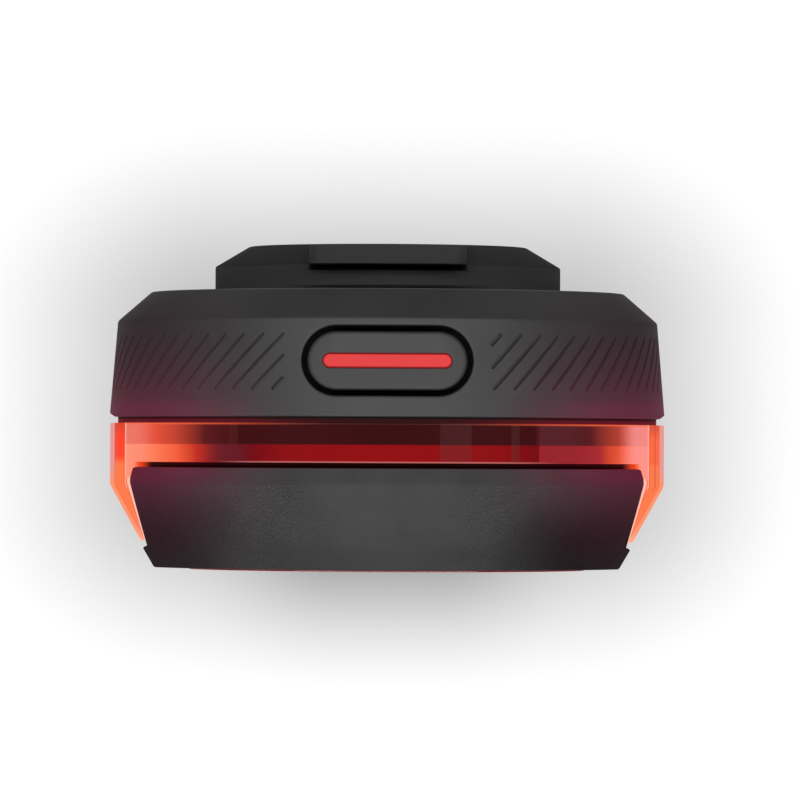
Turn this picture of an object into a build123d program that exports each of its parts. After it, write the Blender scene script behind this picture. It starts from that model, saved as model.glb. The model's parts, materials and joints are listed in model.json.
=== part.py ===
"""Bicycle radar tail light: a capsule-shaped light on a quarter-turn mount, built piece by piece.

Millimetres. The origin is the centre of the mount's flat back face. +Z is up, +X is to the side and
+Y points out of the mount, towards the bicycle, so the lens faces -Y. A depth in this script is the
distance from the mount's back face towards the front, so the point at depth d has y = -d.
"""

import math
import os

from build123d import *

# Body: a capsule in the front view, a stack of moulded parts in the side view
BODY_WIDTH = 40.0
BODY_HEIGHT = 96.0
HOUSING_DEPTH = 9.0  # flat back to the parting line
COVER_DEPTH = 7.12  # cover's rear edge to its front face
LENS_BAND = 2.77  # the lens's band that shows over the ends
REAR_SEAL_THICKNESS = 0.43
FRONT_SEAL_THICKNESS = 0.38
OVERCUT = 1.0  # how far a cutter runs past an open face

# Rear housing
BACK_WALL = 2.4
SIDE_WALL = 2.0
BACK_CHAMFER_DEPTH = 2.1
BACK_INSET = 3.0  # the flat back's edge, in from the body's edge
CREASE_INSET = 0.58
SEAL_SET_BACK = 0.6  # a seal's outer edge, in from the body's edge, so that a dark gap shows
SEAL_INNER_GAP = 0.2

# Diagonal grip grooves round the top end
HATCH_PITCH_ANGLE = 4.57
HATCH_START_ANGLE = 21.7
HATCH_CLEAR_ANGLE = 21.5  # left plain on each side of the button
HATCH_END_ANGLE = 89.0
HATCH_BAND = 3.95
HATCH_REAR = 1.05  # crease to the grooves' rear ends
GROOVE_WIDTH = 0.36
GROOVE_DEPTH = 0.22

# Side lens
LENS_THICKNESS = 2.95
LENS_INSET = 0.05
LENS_STRAIGHT = 4.41  # rear edge to where the side slants in
LENS_TIP_INSET = 2.27
LENS_TIP_GAP = 0.29
FLANK_GAP = 0.08
FRONT_SEAL_INSET = 0.25  # from the lens's inner face
FRONT_SEAL_WIDTH = 0.7

# Front cover
COVER_REAR_INSET = 0.45
COVER_INSET = 0.1
COVER_BEVEL = 1.07
COVER_FRONT_INSET = 1.8
COVER_CROWN = 0.45  # how far the end bulges past a straight taper
CROWN_STEPS = 2
COVER_WALL = 2.4
FLANK_WALL = 1.63
COVER_LENS_GAP = 0.1
COVER_INNER_SLANT = 1.1
FLANK_REAR_INSET = 1.75
FLANK_FRONT_INSET = 3.0
FLANK_CORNER = 0.3
LIP_DEPTH = 1.42
LIP_OVERHANG = 0.3
LIP_UNDERCUT = 0.14
LIP_CHAMFER = 0.79

# Front window
WINDOW_SIDE_INSET = 5.8
WINDOW_END_INSET = 4.3
WINDOW_CORNER = 2.0
WINDOW_THICKNESS = 1.5
WINDOW_PROUD = 0.15
WINDOW_LEDGE = 1.3
WINDOW_GAP = 0.1
MASK_THICKNESS = 0.1
MASK_HEIGHT = 36.0
MASK_GAP = 0.2

# Quarter-turn mount
HUB_DIAMETER = 26.2
HUB_HEIGHT = 4.1
HUB_CHAMFER_WIDTH = 2.6
HUB_CHAMFER_DEPTH = 1.55
TAB_DIAMETER = 30.5  # over both tabs
TAB_WIDTH = 11.7
TAB_THICKNESS = 1.45
TAB_NOTCH_WIDTH = 2.3
TAB_NOTCH_DEPTH = 0.3
TAB_CORNER = 0.5
HUB_SCREW_CIRCLE = 15.0
HUB_SCREW_COUNT = 2
HUB_SCREW_DIAMETER = 1.7
HUB_SCREW_HEAD = 3.4
HUB_SCREW_HEAD_HEIGHT = 0.9
HUB_SCREW_BITE = 2.0  # into the housing's back wall
HUB_SCREW_SUNK = 0.2  # the head, below the mount's flat face
HUB_SCREW_GAP = 0.1  # round the head

# Power button
BUTTON_DEPTH = 5.08  # the flat back to the button's centre line
BUTTON_LENGTH = 11.15
BUTTON_WIDTH = 4.1
BUTTON_GAP = 0.4
BUTTON_THICKNESS = 2.1
BUTTON_TRAVEL = 0.5
BUTTON_UNDER_GAP = 0.1
BUTTON_FLOOR = 1.3
LIGHT_BAR_LENGTH = 9.05
LIGHT_BAR_WIDTH = 1.05
POST_SPREAD = 6.4
POST_SIZE = 2.3
POST_CLEARANCE = 0.05
POST_REACH = 0.6  # below the seal
BUTTON_SEAL_THICKNESS = 0.8
BUTTON_BOSS_MARGIN = 1.2

# Switch under the button
SWITCH_SIZE = 3.6
SWITCH_HEIGHT = 1.5
PLUNGER_DIAMETER = 1.8
PLUNGER_PROUD = 0.55
PLUNGER_LENGTH = 1.2
BUTTON_BOARD_THICKNESS = 1.0
BUTTON_BOARD_LENGTH = 13.2
BUTTON_BOARD_GAP = 0.5
STATUS_LED_SIZE = 1.4
STATUS_LED_HEIGHT = 0.6

# Inner frame and boards
FRAME_INSET = 3.6
FRAME_THICKNESS = 1.2
FRAME_GAP = 0.25
FRAME_TO_PARTING = 0.7  # the frame's rear face, behind the parting line
BOARD_STANDOFF = 1.0
BOARD_INSET = 4.0
BOARD_THICKNESS = 1.0
SHELF_THICKNESS = 1.2
FRAME_OPENING_WIDTH = 18.0
FRAME_OPENING_HEIGHT = 16.0
PEG_SIZE = 1.6
PEG_SIDE_INSET = 6.4
PEG_RISE = 0.5
PEG_RISE_PAST_SPAN = 5.0
REST_SIZE = 3.6
STANDOFF_SIZE = 3.2
STANDOFF_SIDE_INSET = 5.4
STANDOFF_SPACING = 44.0
STAKE_SIZE = 1.6  # melted over on the frame, once it is in place
STAKE_HEAD_SIZE = 2.6
STAKE_HEAD_HEIGHT = 0.6

# Battery
PAD_THICKNESS = 0.5
PAD_INSET = 1.0
BATTERY_TOP_GAP = 10.0  # below the button board's shelf
BATTERY_GAP = 0.7
BATTERY_FRONT_GAP = 0.2
FLEX_WIDTH = 6.0
FLEX_THICKNESS = 0.25
FLEX_START_DEPTH = 2.0  # from the cell's rear face
FLEX_RISE = 1.2
FLEX_LAND = 2.5
FLEX_SLOT_HEIGHT = 6.0
FLEX_SLOT_GAP = 0.5

# Charging port in the back, below the mount
PORT_FROM_BOTTOM = 16.0
PORT_LENGTH = 8.94
PORT_WIDTH = 3.26
PORT_SHELL = 0.3
PORT_RECESS = 0.1  # the shell's mouth, under the plug recess's floor
PORT_CLEARANCE = 0.1
TONGUE_LENGTH = 6.7
TONGUE_THICKNESS = 0.7
TONGUE_RECESS = 0.6
TONGUE_BASE = 1.6
PLUG_RECESS_LENGTH = 12.8
PLUG_RECESS_WIDTH = 6.8
PLUG_RECESS_DEPTH = 2.9
PORT_BOSS_THICKNESS = 1.8
PORT_BOSS_MARGIN = 1.4
PORT_SEAL_WIDTH = 1.2
PORT_SEAL_THICKNESS = 1.0
PORT_SEAL_GAP = 0.1

# Hinged cover over the port
FLAP_LENGTH = 16.0
FLAP_THICKNESS = 1.2
FLAP_GAP = 0.15
FLAP_MARGIN = 1.35  # the flap's edge, out from the plug recess
FLAP_CORNER = 2.6
FLAP_PLUG_DEPTH = 1.0
FLAP_PLUG_GAP = 0.3
HINGE_DIAMETER = 2.2
HINGE_RISE = 1.7  # the hinge's axis, above the plug recess
HINGE_SWING = 1.8  # room round the hinge's axis for the flap's square top edge
HINGE_PIN_DIAMETER = 1.0
HINGE_PIN_GRIP = 1.7  # each end of the pin, in the housing
HINGE_BOSS_MARGIN = 1.0
HINGE_CLEARANCE = 0.05

# Lights
LED_SIZE = 3.0
LED_HEIGHT = 0.9
LED_PITCH = 8.2
LED_ROW_RISE = 3.0  # above the end arc's centre
LEDS_PER_ROW = 3
OPTIC_SIZE = 7.4
OPTIC_NECK = 3.4
OPTIC_PLATE = 1.0
OPTIC_MARGIN = 0.6
OPTIC_LED_GAP = 0.1
OPTIC_FRONT_GAP = 0.1
OPTIC_LEG = 1.6
SIDE_LED_PITCH = 12.0
SIDE_LEDS = 4
SIDE_LED_LENGTH = 2.8
SIDE_LED_WIDTH = 1.3
SIDE_LED_INSET = 0.2

# Radar
RADAR_WIDTH = 24.0
RADAR_HEIGHT = 32.0
RADAR_THICKNESS = 0.8
RADAR_STANDOFF = 2.4
RADAR_CHIP_SIZE = 7.0
RADAR_CHIP_HEIGHT = 0.9
RADAR_CHIP_RISE = 2.0
CONNECTOR_LENGTH = 14.0
CONNECTOR_WIDTH = 3.2
SPACER_SIZE = 2.8
PATCH_SIZE = 3.4
PATCH_PITCH = 5.6
PATCH_COLUMNS = 3
PATCH_ROWS = 4
PATCH_THICKNESS = 0.1
FEED_WIDTH = 0.5

# Worked out from the sizes above
END_RADIUS = BODY_WIDTH / 2
SPAN = BODY_HEIGHT - BODY_WIDTH
TOP = BODY_HEIGHT / 2
BACK = HUB_HEIGHT
CREASE = BACK + BACK_CHAMFER_DEPTH
PARTING = BACK + HOUSING_DEPTH
CAVITY_BACK = BACK + BACK_WALL
LENS_REAR = PARTING + REAR_SEAL_THICKNESS
LENS_SHOULDER = LENS_REAR + LENS_BAND
COVER_REAR = LENS_SHOULDER + FRONT_SEAL_THICKNESS
COVER_SHOULDER = COVER_REAR + COVER_BEVEL
COVER_FRONT = COVER_REAR + COVER_DEPTH
LIP_REAR = COVER_FRONT - LIP_DEPTH
FLANK_FRONT = LIP_REAR - LIP_UNDERCUT
LENS_TIP = FLANK_FRONT - LENS_TIP_GAP
LENS_INNER = END_RADIUS - LENS_INSET - LENS_THICKNESS
COVER_INNER = COVER_FRONT - COVER_WALL
WINDOW_REAR = COVER_FRONT + WINDOW_PROUD - WINDOW_THICKNESS
BUTTON_CENTRE = BACK + BUTTON_DEPTH
WELL_FLOOR = TOP - BUTTON_THICKNESS - BUTTON_TRAVEL - BUTTON_UNDER_GAP
FLOOR_UNDERSIDE = WELL_FLOOR - BUTTON_FLOOR
POST_FOOT = FLOOR_UNDERSIDE - BUTTON_SEAL_THICKNESS - POST_REACH
SWITCH_TOP = POST_FOOT - PLUNGER_PROUD
BUTTON_BOARD_TOP = SWITCH_TOP - SWITCH_HEIGHT
SHELF_TOP = BUTTON_BOARD_TOP - BUTTON_BOARD_THICKNESS
FRAME_REAR = PARTING - FRAME_TO_PARTING
FRAME_FRONT = FRAME_REAR + FRAME_THICKNESS
BOARD_REAR = FRAME_FRONT + BOARD_STANDOFF
BOARD_FRONT = BOARD_REAR + BOARD_THICKNESS
STANDOFF_X = END_RADIUS - STANDOFF_SIDE_INSET
BUTTON_BOARD_REAR = CAVITY_BACK + BUTTON_BOARD_GAP
PORT_Z = -TOP + PORT_FROM_BOTTOM
PORT_FLOOR = BACK + PLUG_RECESS_DEPTH
PORT_MOUTH = PORT_FLOOR + PORT_RECESS
PORT_BOSS_FRONT = PORT_FLOOR + PORT_BOSS_THICKNESS
HINGE_DEPTH = BACK + HINGE_DIAMETER / 2
HINGE_Z = PORT_Z + PLUG_RECESS_WIDTH / 2 + HINGE_RISE
HINGE_PIN_LENGTH = FLAP_LENGTH + 2 * FLAP_GAP + 2 * HINGE_PIN_GRIP
LED_ROW_Z = SPAN / 2 + LED_ROW_RISE
RADAR_REAR = BOARD_FRONT + RADAR_STANDOFF


def at_depth(depth: float) -> Plane:
    """Front-view plane at this depth: drawn with x and z, extruded towards the front."""
    return Plane.XZ.offset(depth)


def slab(outline, depth: float, thickness: float):
    """Plate with a front-view outline, from a depth towards the front."""
    return extrude(at_depth(depth) * outline, thickness)


def block(x: float, depth: float, z: float, width: float, thickness: float, height: float):
    """Box centred on x and z, from a depth towards the front."""
    return Pos(x, -depth - thickness / 2, z) * Box(width, thickness, height)


def disc(x: float, z: float, depth: float, thickness: float, diameter: float):
    """Round plate or pin along the depth direction."""
    return slab(Pos(x, z) * Circle(diameter / 2), depth, thickness)


def upright(x: float, depth: float, top: float, height: float, diameter: float):
    """Round pin that stands along Z and ends at a top height."""
    return Pos(x, -depth, top - height / 2) * Cylinder(diameter / 2, height)


def button_post(x: float, margin: float, bottom: float, top: float):
    """Square post under the button between two heights, grown by a margin."""
    size = POST_SIZE + 2 * margin
    return block(x, BUTTON_CENTRE - size / 2, (bottom + top) / 2, size, size, top - bottom)


def stadium(radius: float):
    """Capsule outline concentric with the body."""
    return SlotCenterToCenter(SPAN, 2 * radius, rotation=90)


def ring_band(inner: float, outer: float, depth: float, thickness: float):
    """Flat capsule ring concentric with the body."""
    return slab(stadium(outer) - stadium(inner), depth, thickness)


def section(points):
    """Half section beside the long axis, from (half width, depth) points."""
    return make_face(Polyline(*[(x, -depth) for x, depth in points], close=True))


def swept_round(half):
    """Carries a half section along both sides and round both ends of the capsule."""
    sides = half + mirror(half, about=Plane.YZ)
    straight = extrude(Pos(0, 0, -SPAN / 2) * sides, SPAN, dir=(0, 0, 1))
    top = Pos(0, 0, SPAN / 2) * revolve(half, Axis((0, 0, 0), (0, -1, 0)), 180)
    bottom = Pos(0, 0, -SPAN / 2) * revolve(half, Axis((0, 0, 0), (0, 1, 0)), 180)
    return straight + top + bottom


def flank_prism(gap: float, front: float):
    """Block between the cover's two slanting flanks, widened by a gap on each side."""
    rear = END_RADIUS - FLANK_REAR_INSET + gap
    corner = rear - FLANK_CORNER
    slope = (FLANK_FRONT_INSET - FLANK_REAR_INSET) / (FLANK_FRONT - COVER_SHOULDER)
    tip = rear - slope * (front - COVER_SHOULDER)
    right = [(corner, -LENS_SHOULDER), (corner, -COVER_REAR), (rear, -COVER_SHOULDER), (tip, -front)]
    outline = right + [(-x, y) for x, y in reversed(right)]
    face = make_face(Polyline(*outline, close=True))
    return extrude(Pos(0, 0, -BODY_HEIGHT) * face, 2 * BODY_HEIGHT, dir=(0, 0, 1))


def housing_envelope():
    """Rear housing as a solid: flat back, chamfer all round, slight draft to the parting line."""
    return swept_round(
        section([
            (0, BACK),
            (END_RADIUS - BACK_INSET, BACK),
            (END_RADIUS - CREASE_INSET, CREASE),
            (END_RADIUS, PARTING),
            (0, PARTING),
        ])
    )


def housing_cavity():
    """Hollow of the rear housing, one wall in from the outside."""
    return swept_round(
        section([
            (0, CAVITY_BACK),
            (END_RADIUS - BACK_INSET - SIDE_WALL, CAVITY_BACK),
            (END_RADIUS - CREASE_INSET - SIDE_WALL, CREASE + BACK_WALL),
            (END_RADIUS - SIDE_WALL, PARTING),
            (0, PARTING),
        ])
    )


def housing_radius(depth: float) -> float:
    """Half width of the housing's drafted side at a depth."""
    share = (depth - CREASE) / (PARTING - CREASE)
    return END_RADIUS - CREASE_INSET * (1 - share)


def groove_strokes():
    """Start and end angle of each grip groove, with the shares of its stroke that are cut."""
    lean = math.degrees(HATCH_BAND / housing_radius(CREASE + HATCH_REAR + HATCH_BAND / 2))
    first = math.ceil((-HATCH_END_ANGLE - HATCH_START_ANGLE) / HATCH_PITCH_ANGLE)
    last = math.floor((HATCH_END_ANGLE - lean - HATCH_START_ANGLE) / HATCH_PITCH_ANGLE)
    for step in range(first, last + 1):
        low = HATCH_START_ANGLE + step * HATCH_PITCH_ANGLE
        if low > -HATCH_CLEAR_ANGLE:
            shares = max(0.0, (HATCH_CLEAR_ANGLE - low) / lean), 1.0
        else:
            shares = 0.0, min(1.0, (-HATCH_CLEAR_ANGLE - low) / lean)
        if shares[1] - shares[0] > 2 * GROOVE_WIDTH / HATCH_BAND:
            yield low + lean * shares[0], low + lean * shares[1], shares


def grip_grooves():
    """Shallow diagonal slots round the top end, each square to the surface at its middle."""
    front = CREASE + HATCH_REAR + HATCH_BAND
    draft = math.degrees(math.atan2(CREASE_INSET, PARTING - CREASE))
    grooves = []
    for start, end, shares in groove_strokes():
        depth = front - HATCH_BAND * (shares[0] + shares[1]) / 2
        radius = housing_radius(depth)
        rise = HATCH_BAND * (shares[1] - shares[0])
        along = radius * math.radians(end - start)
        sagitta = radius * (1 - math.cos(math.radians(end - start) / 2))
        lean = math.degrees(math.atan2(rise, along))
        outline = Rot(0, 0, lean) * Rectangle(math.hypot(rise, along), GROOVE_WIDTH)
        cutter = extrude(outline, GROOVE_DEPTH + sagitta / 2, both=True)
        slot = Pos(0, -depth, radius) * Rot(-draft, 0, 0) * cutter
        grooves.append(Pos(0, 0, SPAN / 2) * Rot(0, (start + end) / 2, 0) * slot)
    return grooves


def button_outline(margin: float):
    """Obround of the button, grown by a margin."""
    return SlotOverall(BUTTON_LENGTH + 2 * margin, BUTTON_WIDTH + 2 * margin)


def button_prism(margin: float, bottom: float, top: float):
    """Obround prism of the button between two heights."""
    return extrude(Pos(0, -BUTTON_CENTRE, bottom) * button_outline(margin), top - bottom)


def post_places():
    """X of the two posts under the button: the switch's, then the light leg's."""
    return -POST_SPREAD / 2, POST_SPREAD / 2


def standoff_places():
    """Front-view places of the four standoffs that carry the inner frame."""
    return [(side * STANDOFF_X, end * STANDOFF_SPACING / 2) for end in (1, -1) for side in (-1, 1)]


def hub_screw_places():
    """Front-view places of the mount's screws, on a circle."""
    radius = HUB_SCREW_CIRCLE / 2
    angles = [2 * math.pi * i / HUB_SCREW_COUNT for i in range(HUB_SCREW_COUNT)]
    return [(-radius * math.cos(a), radius * math.sin(a)) for a in angles]


def flap_bottom() -> float:
    """Lowest edge of the port's flap."""
    return PORT_Z - PLUG_RECESS_WIDTH / 2 - FLAP_MARGIN


def flap_plate(margin: float, thickness: float):
    """Flap's plate up to the hinge, flush with the flat back, or the recess that it lies in."""
    low = flap_bottom() - margin
    width = FLAP_LENGTH + 2 * margin
    middle = (low + HINGE_Z) / 2
    outline = Pos(0, middle) * RectangleRounded(width, HINGE_Z - low, FLAP_CORNER + margin)
    outline += Pos(0, (middle + HINGE_Z) / 2) * Rectangle(width, HINGE_Z - middle)
    return slab(outline, BACK, thickness)


def port_outline(margin: float):
    """Obround of the charging port's shell, grown by a margin."""
    return Pos(0, PORT_Z) * SlotOverall(PORT_LENGTH + 2 * margin, PORT_WIDTH + 2 * margin)


def plug_outline(margin: float):
    """Obround of the recess that a charging plug's grip enters, grown by a margin."""
    return Pos(0, PORT_Z) * SlotOverall(PLUG_RECESS_LENGTH + 2 * margin, PLUG_RECESS_WIDTH + 2 * margin)


def hinge_round(diameter: float, length: float):
    """Cylinder on the flap's hinge axis."""
    return Pos(0, -HINGE_DEPTH, HINGE_Z) * Rot(0, 90, 0) * Cylinder(diameter / 2, length)


def hinge_pocket():
    """Pocket in the flat back for the flap's hinge barrel."""
    width = FLAP_LENGTH + 2 * FLAP_GAP
    return block(0, BACK, HINGE_Z, width, HINGE_DIAMETER + FLAP_GAP, 2 * HINGE_SWING)


def rear_housing():
    """Moulded back shell with its inner bosses, button well, port recess and grip grooves."""
    envelope = housing_envelope()
    boss = button_prism(BUTTON_GAP + BUTTON_BOSS_MARGIN, FLOOR_UNDERSIDE, TOP - BUTTON_THICKNESS / 2)
    port_boss = slab(plug_outline(PORT_BOSS_MARGIN), BACK, PORT_BOSS_FRONT - BACK)
    boss_width = HINGE_PIN_LENGTH + 2 * HINGE_BOSS_MARGIN
    boss_height = 2 * (HINGE_SWING + HINGE_BOSS_MARGIN)
    hinge_boss = block(0, BACK, HINGE_Z, boss_width, PORT_BOSS_FRONT - BACK, boss_height)
    shell = envelope - housing_cavity() + (boss & envelope) + port_boss + hinge_boss
    for x, z in standoff_places():
        post = block(x, BACK, z, STANDOFF_SIZE, FRAME_REAR - BACK, STANDOFF_SIZE)
        shell += post & envelope
        shell += block(x, FRAME_REAR, z, STAKE_SIZE, FRAME_THICKNESS, STAKE_SIZE)
        shell += block(x, FRAME_FRONT, z, STAKE_HEAD_SIZE, STAKE_HEAD_HEIGHT, STAKE_HEAD_SIZE)
    shell -= button_prism(BUTTON_GAP, WELL_FLOOR, TOP + OVERCUT)
    shell -= button_prism(0, FLOOR_UNDERSIDE - BUTTON_SEAL_THICKNESS, FLOOR_UNDERSIDE)
    for x in post_places():
        shell -= button_post(x, POST_CLEARANCE, FLOOR_UNDERSIDE, WELL_FLOOR)
    shell -= slab(plug_outline(0), BACK, PLUG_RECESS_DEPTH)
    shell -= slab(port_outline(PORT_CLEARANCE), BACK, PORT_BOSS_FRONT - BACK)
    shell -= flap_plate(FLAP_GAP, FLAP_THICKNESS + FLAP_GAP)
    shell -= hinge_pocket()
    shell -= hinge_round(HINGE_PIN_DIAMETER, HINGE_PIN_LENGTH)
    for x, z in hub_screw_places():
        shell -= disc(x, z, BACK, HUB_SCREW_BITE, HUB_SCREW_DIAMETER)
    for groove in grip_grooves():
        shell -= groove
    return shell


def rear_seal():
    """Gasket between the housing and the lens, set back to leave a dark gap."""
    inner = END_RADIUS - SIDE_WALL + SEAL_INNER_GAP
    return ring_band(inner, END_RADIUS - SEAL_SET_BACK, PARTING, REAR_SEAL_THICKNESS)


def front_seal():
    """Gasket between the lens and the cover."""
    inner = LENS_INNER + FRONT_SEAL_INSET
    return ring_band(inner, inner + FRONT_SEAL_WIDTH, LENS_SHOULDER, FRONT_SEAL_THICKNESS)


def side_lens():
    """Translucent ring: a band over the ends, and full wedges along both long sides."""
    outer = END_RADIUS - LENS_INSET
    ring = swept_round(
        section([
            (LENS_INNER, LENS_REAR),
            (outer, LENS_REAR),
            (outer, LENS_REAR + LENS_STRAIGHT),
            (END_RADIUS - LENS_TIP_INSET, LENS_TIP),
            (LENS_INNER, LENS_TIP),
        ])
    )
    return ring - flank_prism(FLANK_GAP, LENS_TIP + OVERCUT)


def crown_points():
    """Points of the cover's crowned end profile, from its rear shoulder to its front edge."""
    points = []
    for step in range(CROWN_STEPS + 1):
        share = step / CROWN_STEPS
        inset = COVER_INSET + (COVER_FRONT_INSET - COVER_INSET) * share
        bulge = 4 * COVER_CROWN * share * (1 - share)
        depth = COVER_SHOULDER + (COVER_FRONT - COVER_SHOULDER) * share
        points.append((END_RADIUS - inset + bulge, depth))
    return points


def cover_envelope():
    """Cover as a solid: crowned ends, cut along both sides by slanting flanks under a lip."""
    rear = END_RADIUS - COVER_REAR_INSET
    crowned = swept_round(
        section([(0, COVER_FRONT), (0, COVER_REAR), (rear, COVER_REAR), *crown_points()])
    )
    notch = END_RADIUS - FLANK_FRONT_INSET
    edge = notch + LIP_OVERHANG
    right = [(notch, -FLANK_FRONT), (edge, -LIP_REAR), (edge - LIP_CHAMFER, -COVER_FRONT)]
    outline = right + [(-x, y) for x, y in reversed(right)]
    lip_face = make_face(Polyline(*outline, close=True))
    lip = extrude(Pos(0, 0, -BODY_HEIGHT) * lip_face, 2 * BODY_HEIGHT, dir=(0, 0, 1))
    return crowned & (flank_prism(0, FLANK_FRONT) + lip)


def window_outline(inset: float):
    """Window's outline: a capsule trimmed flat along both sides, with rounded corners."""
    width = 2 * (END_RADIUS - WINDOW_SIDE_INSET - inset)
    round_end = stadium(END_RADIUS - WINDOW_END_INSET - inset)
    trimmed = round_end & Rectangle(width, BODY_HEIGHT)
    return fillet(trimmed.vertices(), WINDOW_CORNER)


def front_cover():
    """Moulded front shell with a stepped opening for the window."""
    edge = LENS_INNER - COVER_LENS_GAP
    inner = swept_round(
        section([
            (0, COVER_REAR),
            (edge, COVER_REAR),
            (edge, (COVER_REAR + COVER_INNER) / 2),
            (edge - COVER_INNER_SLANT, COVER_INNER),
            (0, COVER_INNER),
        ])
    )
    side = END_RADIUS - FLANK_FRONT_INSET - FLANK_WALL
    hollow = inner & Box(2 * side, 4 * COVER_FRONT, 2 * BODY_HEIGHT)
    shell = cover_envelope() - hollow
    shell -= slab(window_outline(0), WINDOW_REAR, WINDOW_THICKNESS + OVERCUT)
    return shell - slab(window_outline(WINDOW_LEDGE), COVER_INNER, COVER_WALL)


def front_window():
    """Smoked window over the lights and the radar, on the cover's ledge."""
    return slab(window_outline(WINDOW_GAP), WINDOW_REAR, WINDOW_THICKNESS)


def radar_mask():
    """Opaque film behind the middle of the window."""
    width = 2 * (END_RADIUS - WINDOW_SIDE_INSET - WINDOW_LEDGE - MASK_GAP)
    return slab(Rectangle(width, MASK_HEIGHT), WINDOW_REAR - MASK_THICKNESS, MASK_THICKNESS)


def quarter_turn_hub():
    """Round mount with a coned edge and two tabs, top and bottom, over an undercut."""
    flat = HUB_DIAMETER / 2 - HUB_CHAMFER_WIDTH
    wall = HUB_DIAMETER / 2
    half = section([(0, 0), (flat, 0), (wall, HUB_CHAMFER_DEPTH), (wall, BACK), (0, BACK)])
    hub = revolve(half, Axis.Y, 360)
    tabs = Circle(TAB_DIAMETER / 2) & Rectangle(TAB_WIDTH, TAB_DIAMETER)
    tabs = chamfer(tabs.vertices(), TAB_CORNER)
    for end in (1, -1):
        reach = end * TAB_DIAMETER / 2
        tabs -= Pos(0, reach) * Rectangle(TAB_NOTCH_WIDTH, 2 * TAB_NOTCH_DEPTH)
    hub += slab(tabs, 0, TAB_THICKNESS)
    sunk = HUB_SCREW_SUNK + HUB_SCREW_HEAD_HEIGHT
    for x, z in hub_screw_places():
        hub -= disc(x, z, 0, BACK, HUB_SCREW_DIAMETER)
        hub -= disc(x, z, 0, sunk, HUB_SCREW_HEAD + 2 * HUB_SCREW_GAP)
    return hub


def hub_screw(x: float, z: float):
    """Flat-headed screw through the mount into the housing's back wall."""
    under = HUB_SCREW_SUNK + HUB_SCREW_HEAD_HEIGHT
    shank = disc(x, z, under, BACK + HUB_SCREW_BITE - under, HUB_SCREW_DIAMETER)
    return shank + disc(x, z, HUB_SCREW_SUNK, HUB_SCREW_HEAD_HEIGHT, HUB_SCREW_HEAD)


def light_bar(margin: float, bottom: float, top: float):
    """Obround prism of the bar light in the button."""
    outline = SlotOverall(LIGHT_BAR_LENGTH + 2 * margin, LIGHT_BAR_WIDTH + 2 * margin)
    return extrude(Pos(0, -BUTTON_CENTRE, bottom) * outline, top - bottom)


def button_cap():
    """Power button: its face follows the housing, and a post under it works the switch."""
    under = TOP - BUTTON_THICKNESS
    cap = button_prism(0, under, TOP + OVERCUT) & housing_envelope()
    cap += button_post(post_places()[0], 0, POST_FOOT, under)
    return cap - light_bar(0, under, TOP + OVERCUT)


def button_light_pipe():
    """Clear bar in the button, with a leg down to the status light."""
    under = TOP - BUTTON_THICKNESS
    bar = light_bar(0, under, TOP + OVERCUT) & housing_envelope()
    return bar + button_post(post_places()[1], 0, POST_FOOT, under)


def button_seal():
    """Elastomer plate under the button's floor, round both posts."""
    under = FLOOR_UNDERSIDE - BUTTON_SEAL_THICKNESS
    seal = button_prism(0, under, FLOOR_UNDERSIDE)
    for x in post_places():
        seal -= button_post(x, POST_CLEARANCE / 2, under, FLOOR_UNDERSIDE)
    return seal


def tact_switch():
    """Switch body with a bore for its plunger."""
    x = post_places()[0]
    middle = SWITCH_TOP - SWITCH_HEIGHT / 2
    body = Pos(x, -BUTTON_CENTRE, middle) * Box(SWITCH_SIZE, SWITCH_SIZE, SWITCH_HEIGHT)
    bore = PLUNGER_LENGTH - PLUNGER_PROUD + BUTTON_TRAVEL + BUTTON_UNDER_GAP
    return body - upright(x, BUTTON_CENTRE, SWITCH_TOP, bore, PLUNGER_DIAMETER + 2 * POST_CLEARANCE)


def switch_plunger():
    """Plunger that the button's post pushes down."""
    return upright(post_places()[0], BUTTON_CENTRE, POST_FOOT, PLUNGER_LENGTH, PLUNGER_DIAMETER)


def button_board():
    """Small board for the switch and the status light, on the frame's shelf."""
    depth = FRAME_REAR - BUTTON_BOARD_REAR
    middle = BUTTON_BOARD_TOP - BUTTON_BOARD_THICKNESS / 2
    return block(0, BUTTON_BOARD_REAR, middle, BUTTON_BOARD_LENGTH, depth, BUTTON_BOARD_THICKNESS)


def status_led():
    """Small light below the button's light leg."""
    x = post_places()[1]
    rear = BUTTON_CENTRE - STATUS_LED_SIZE / 2
    middle = BUTTON_BOARD_TOP + STATUS_LED_HEIGHT / 2
    return block(x, rear, middle, STATUS_LED_SIZE, STATUS_LED_SIZE, STATUS_LED_HEIGHT)


def rest_places():
    """Front-view places of the four square rests that carry the main board."""
    x, z = END_RADIUS - PEG_SIDE_INSET, SPAN / 2 + PEG_RISE_PAST_SPAN
    return [(side * x, end * z) for end in (1, -1) for side in (-1, 1)]


def peg_places():
    """The two rests, at opposite corners, whose square pegs locate the main board."""
    places = rest_places()
    return [places[0], places[-1]]


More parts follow.
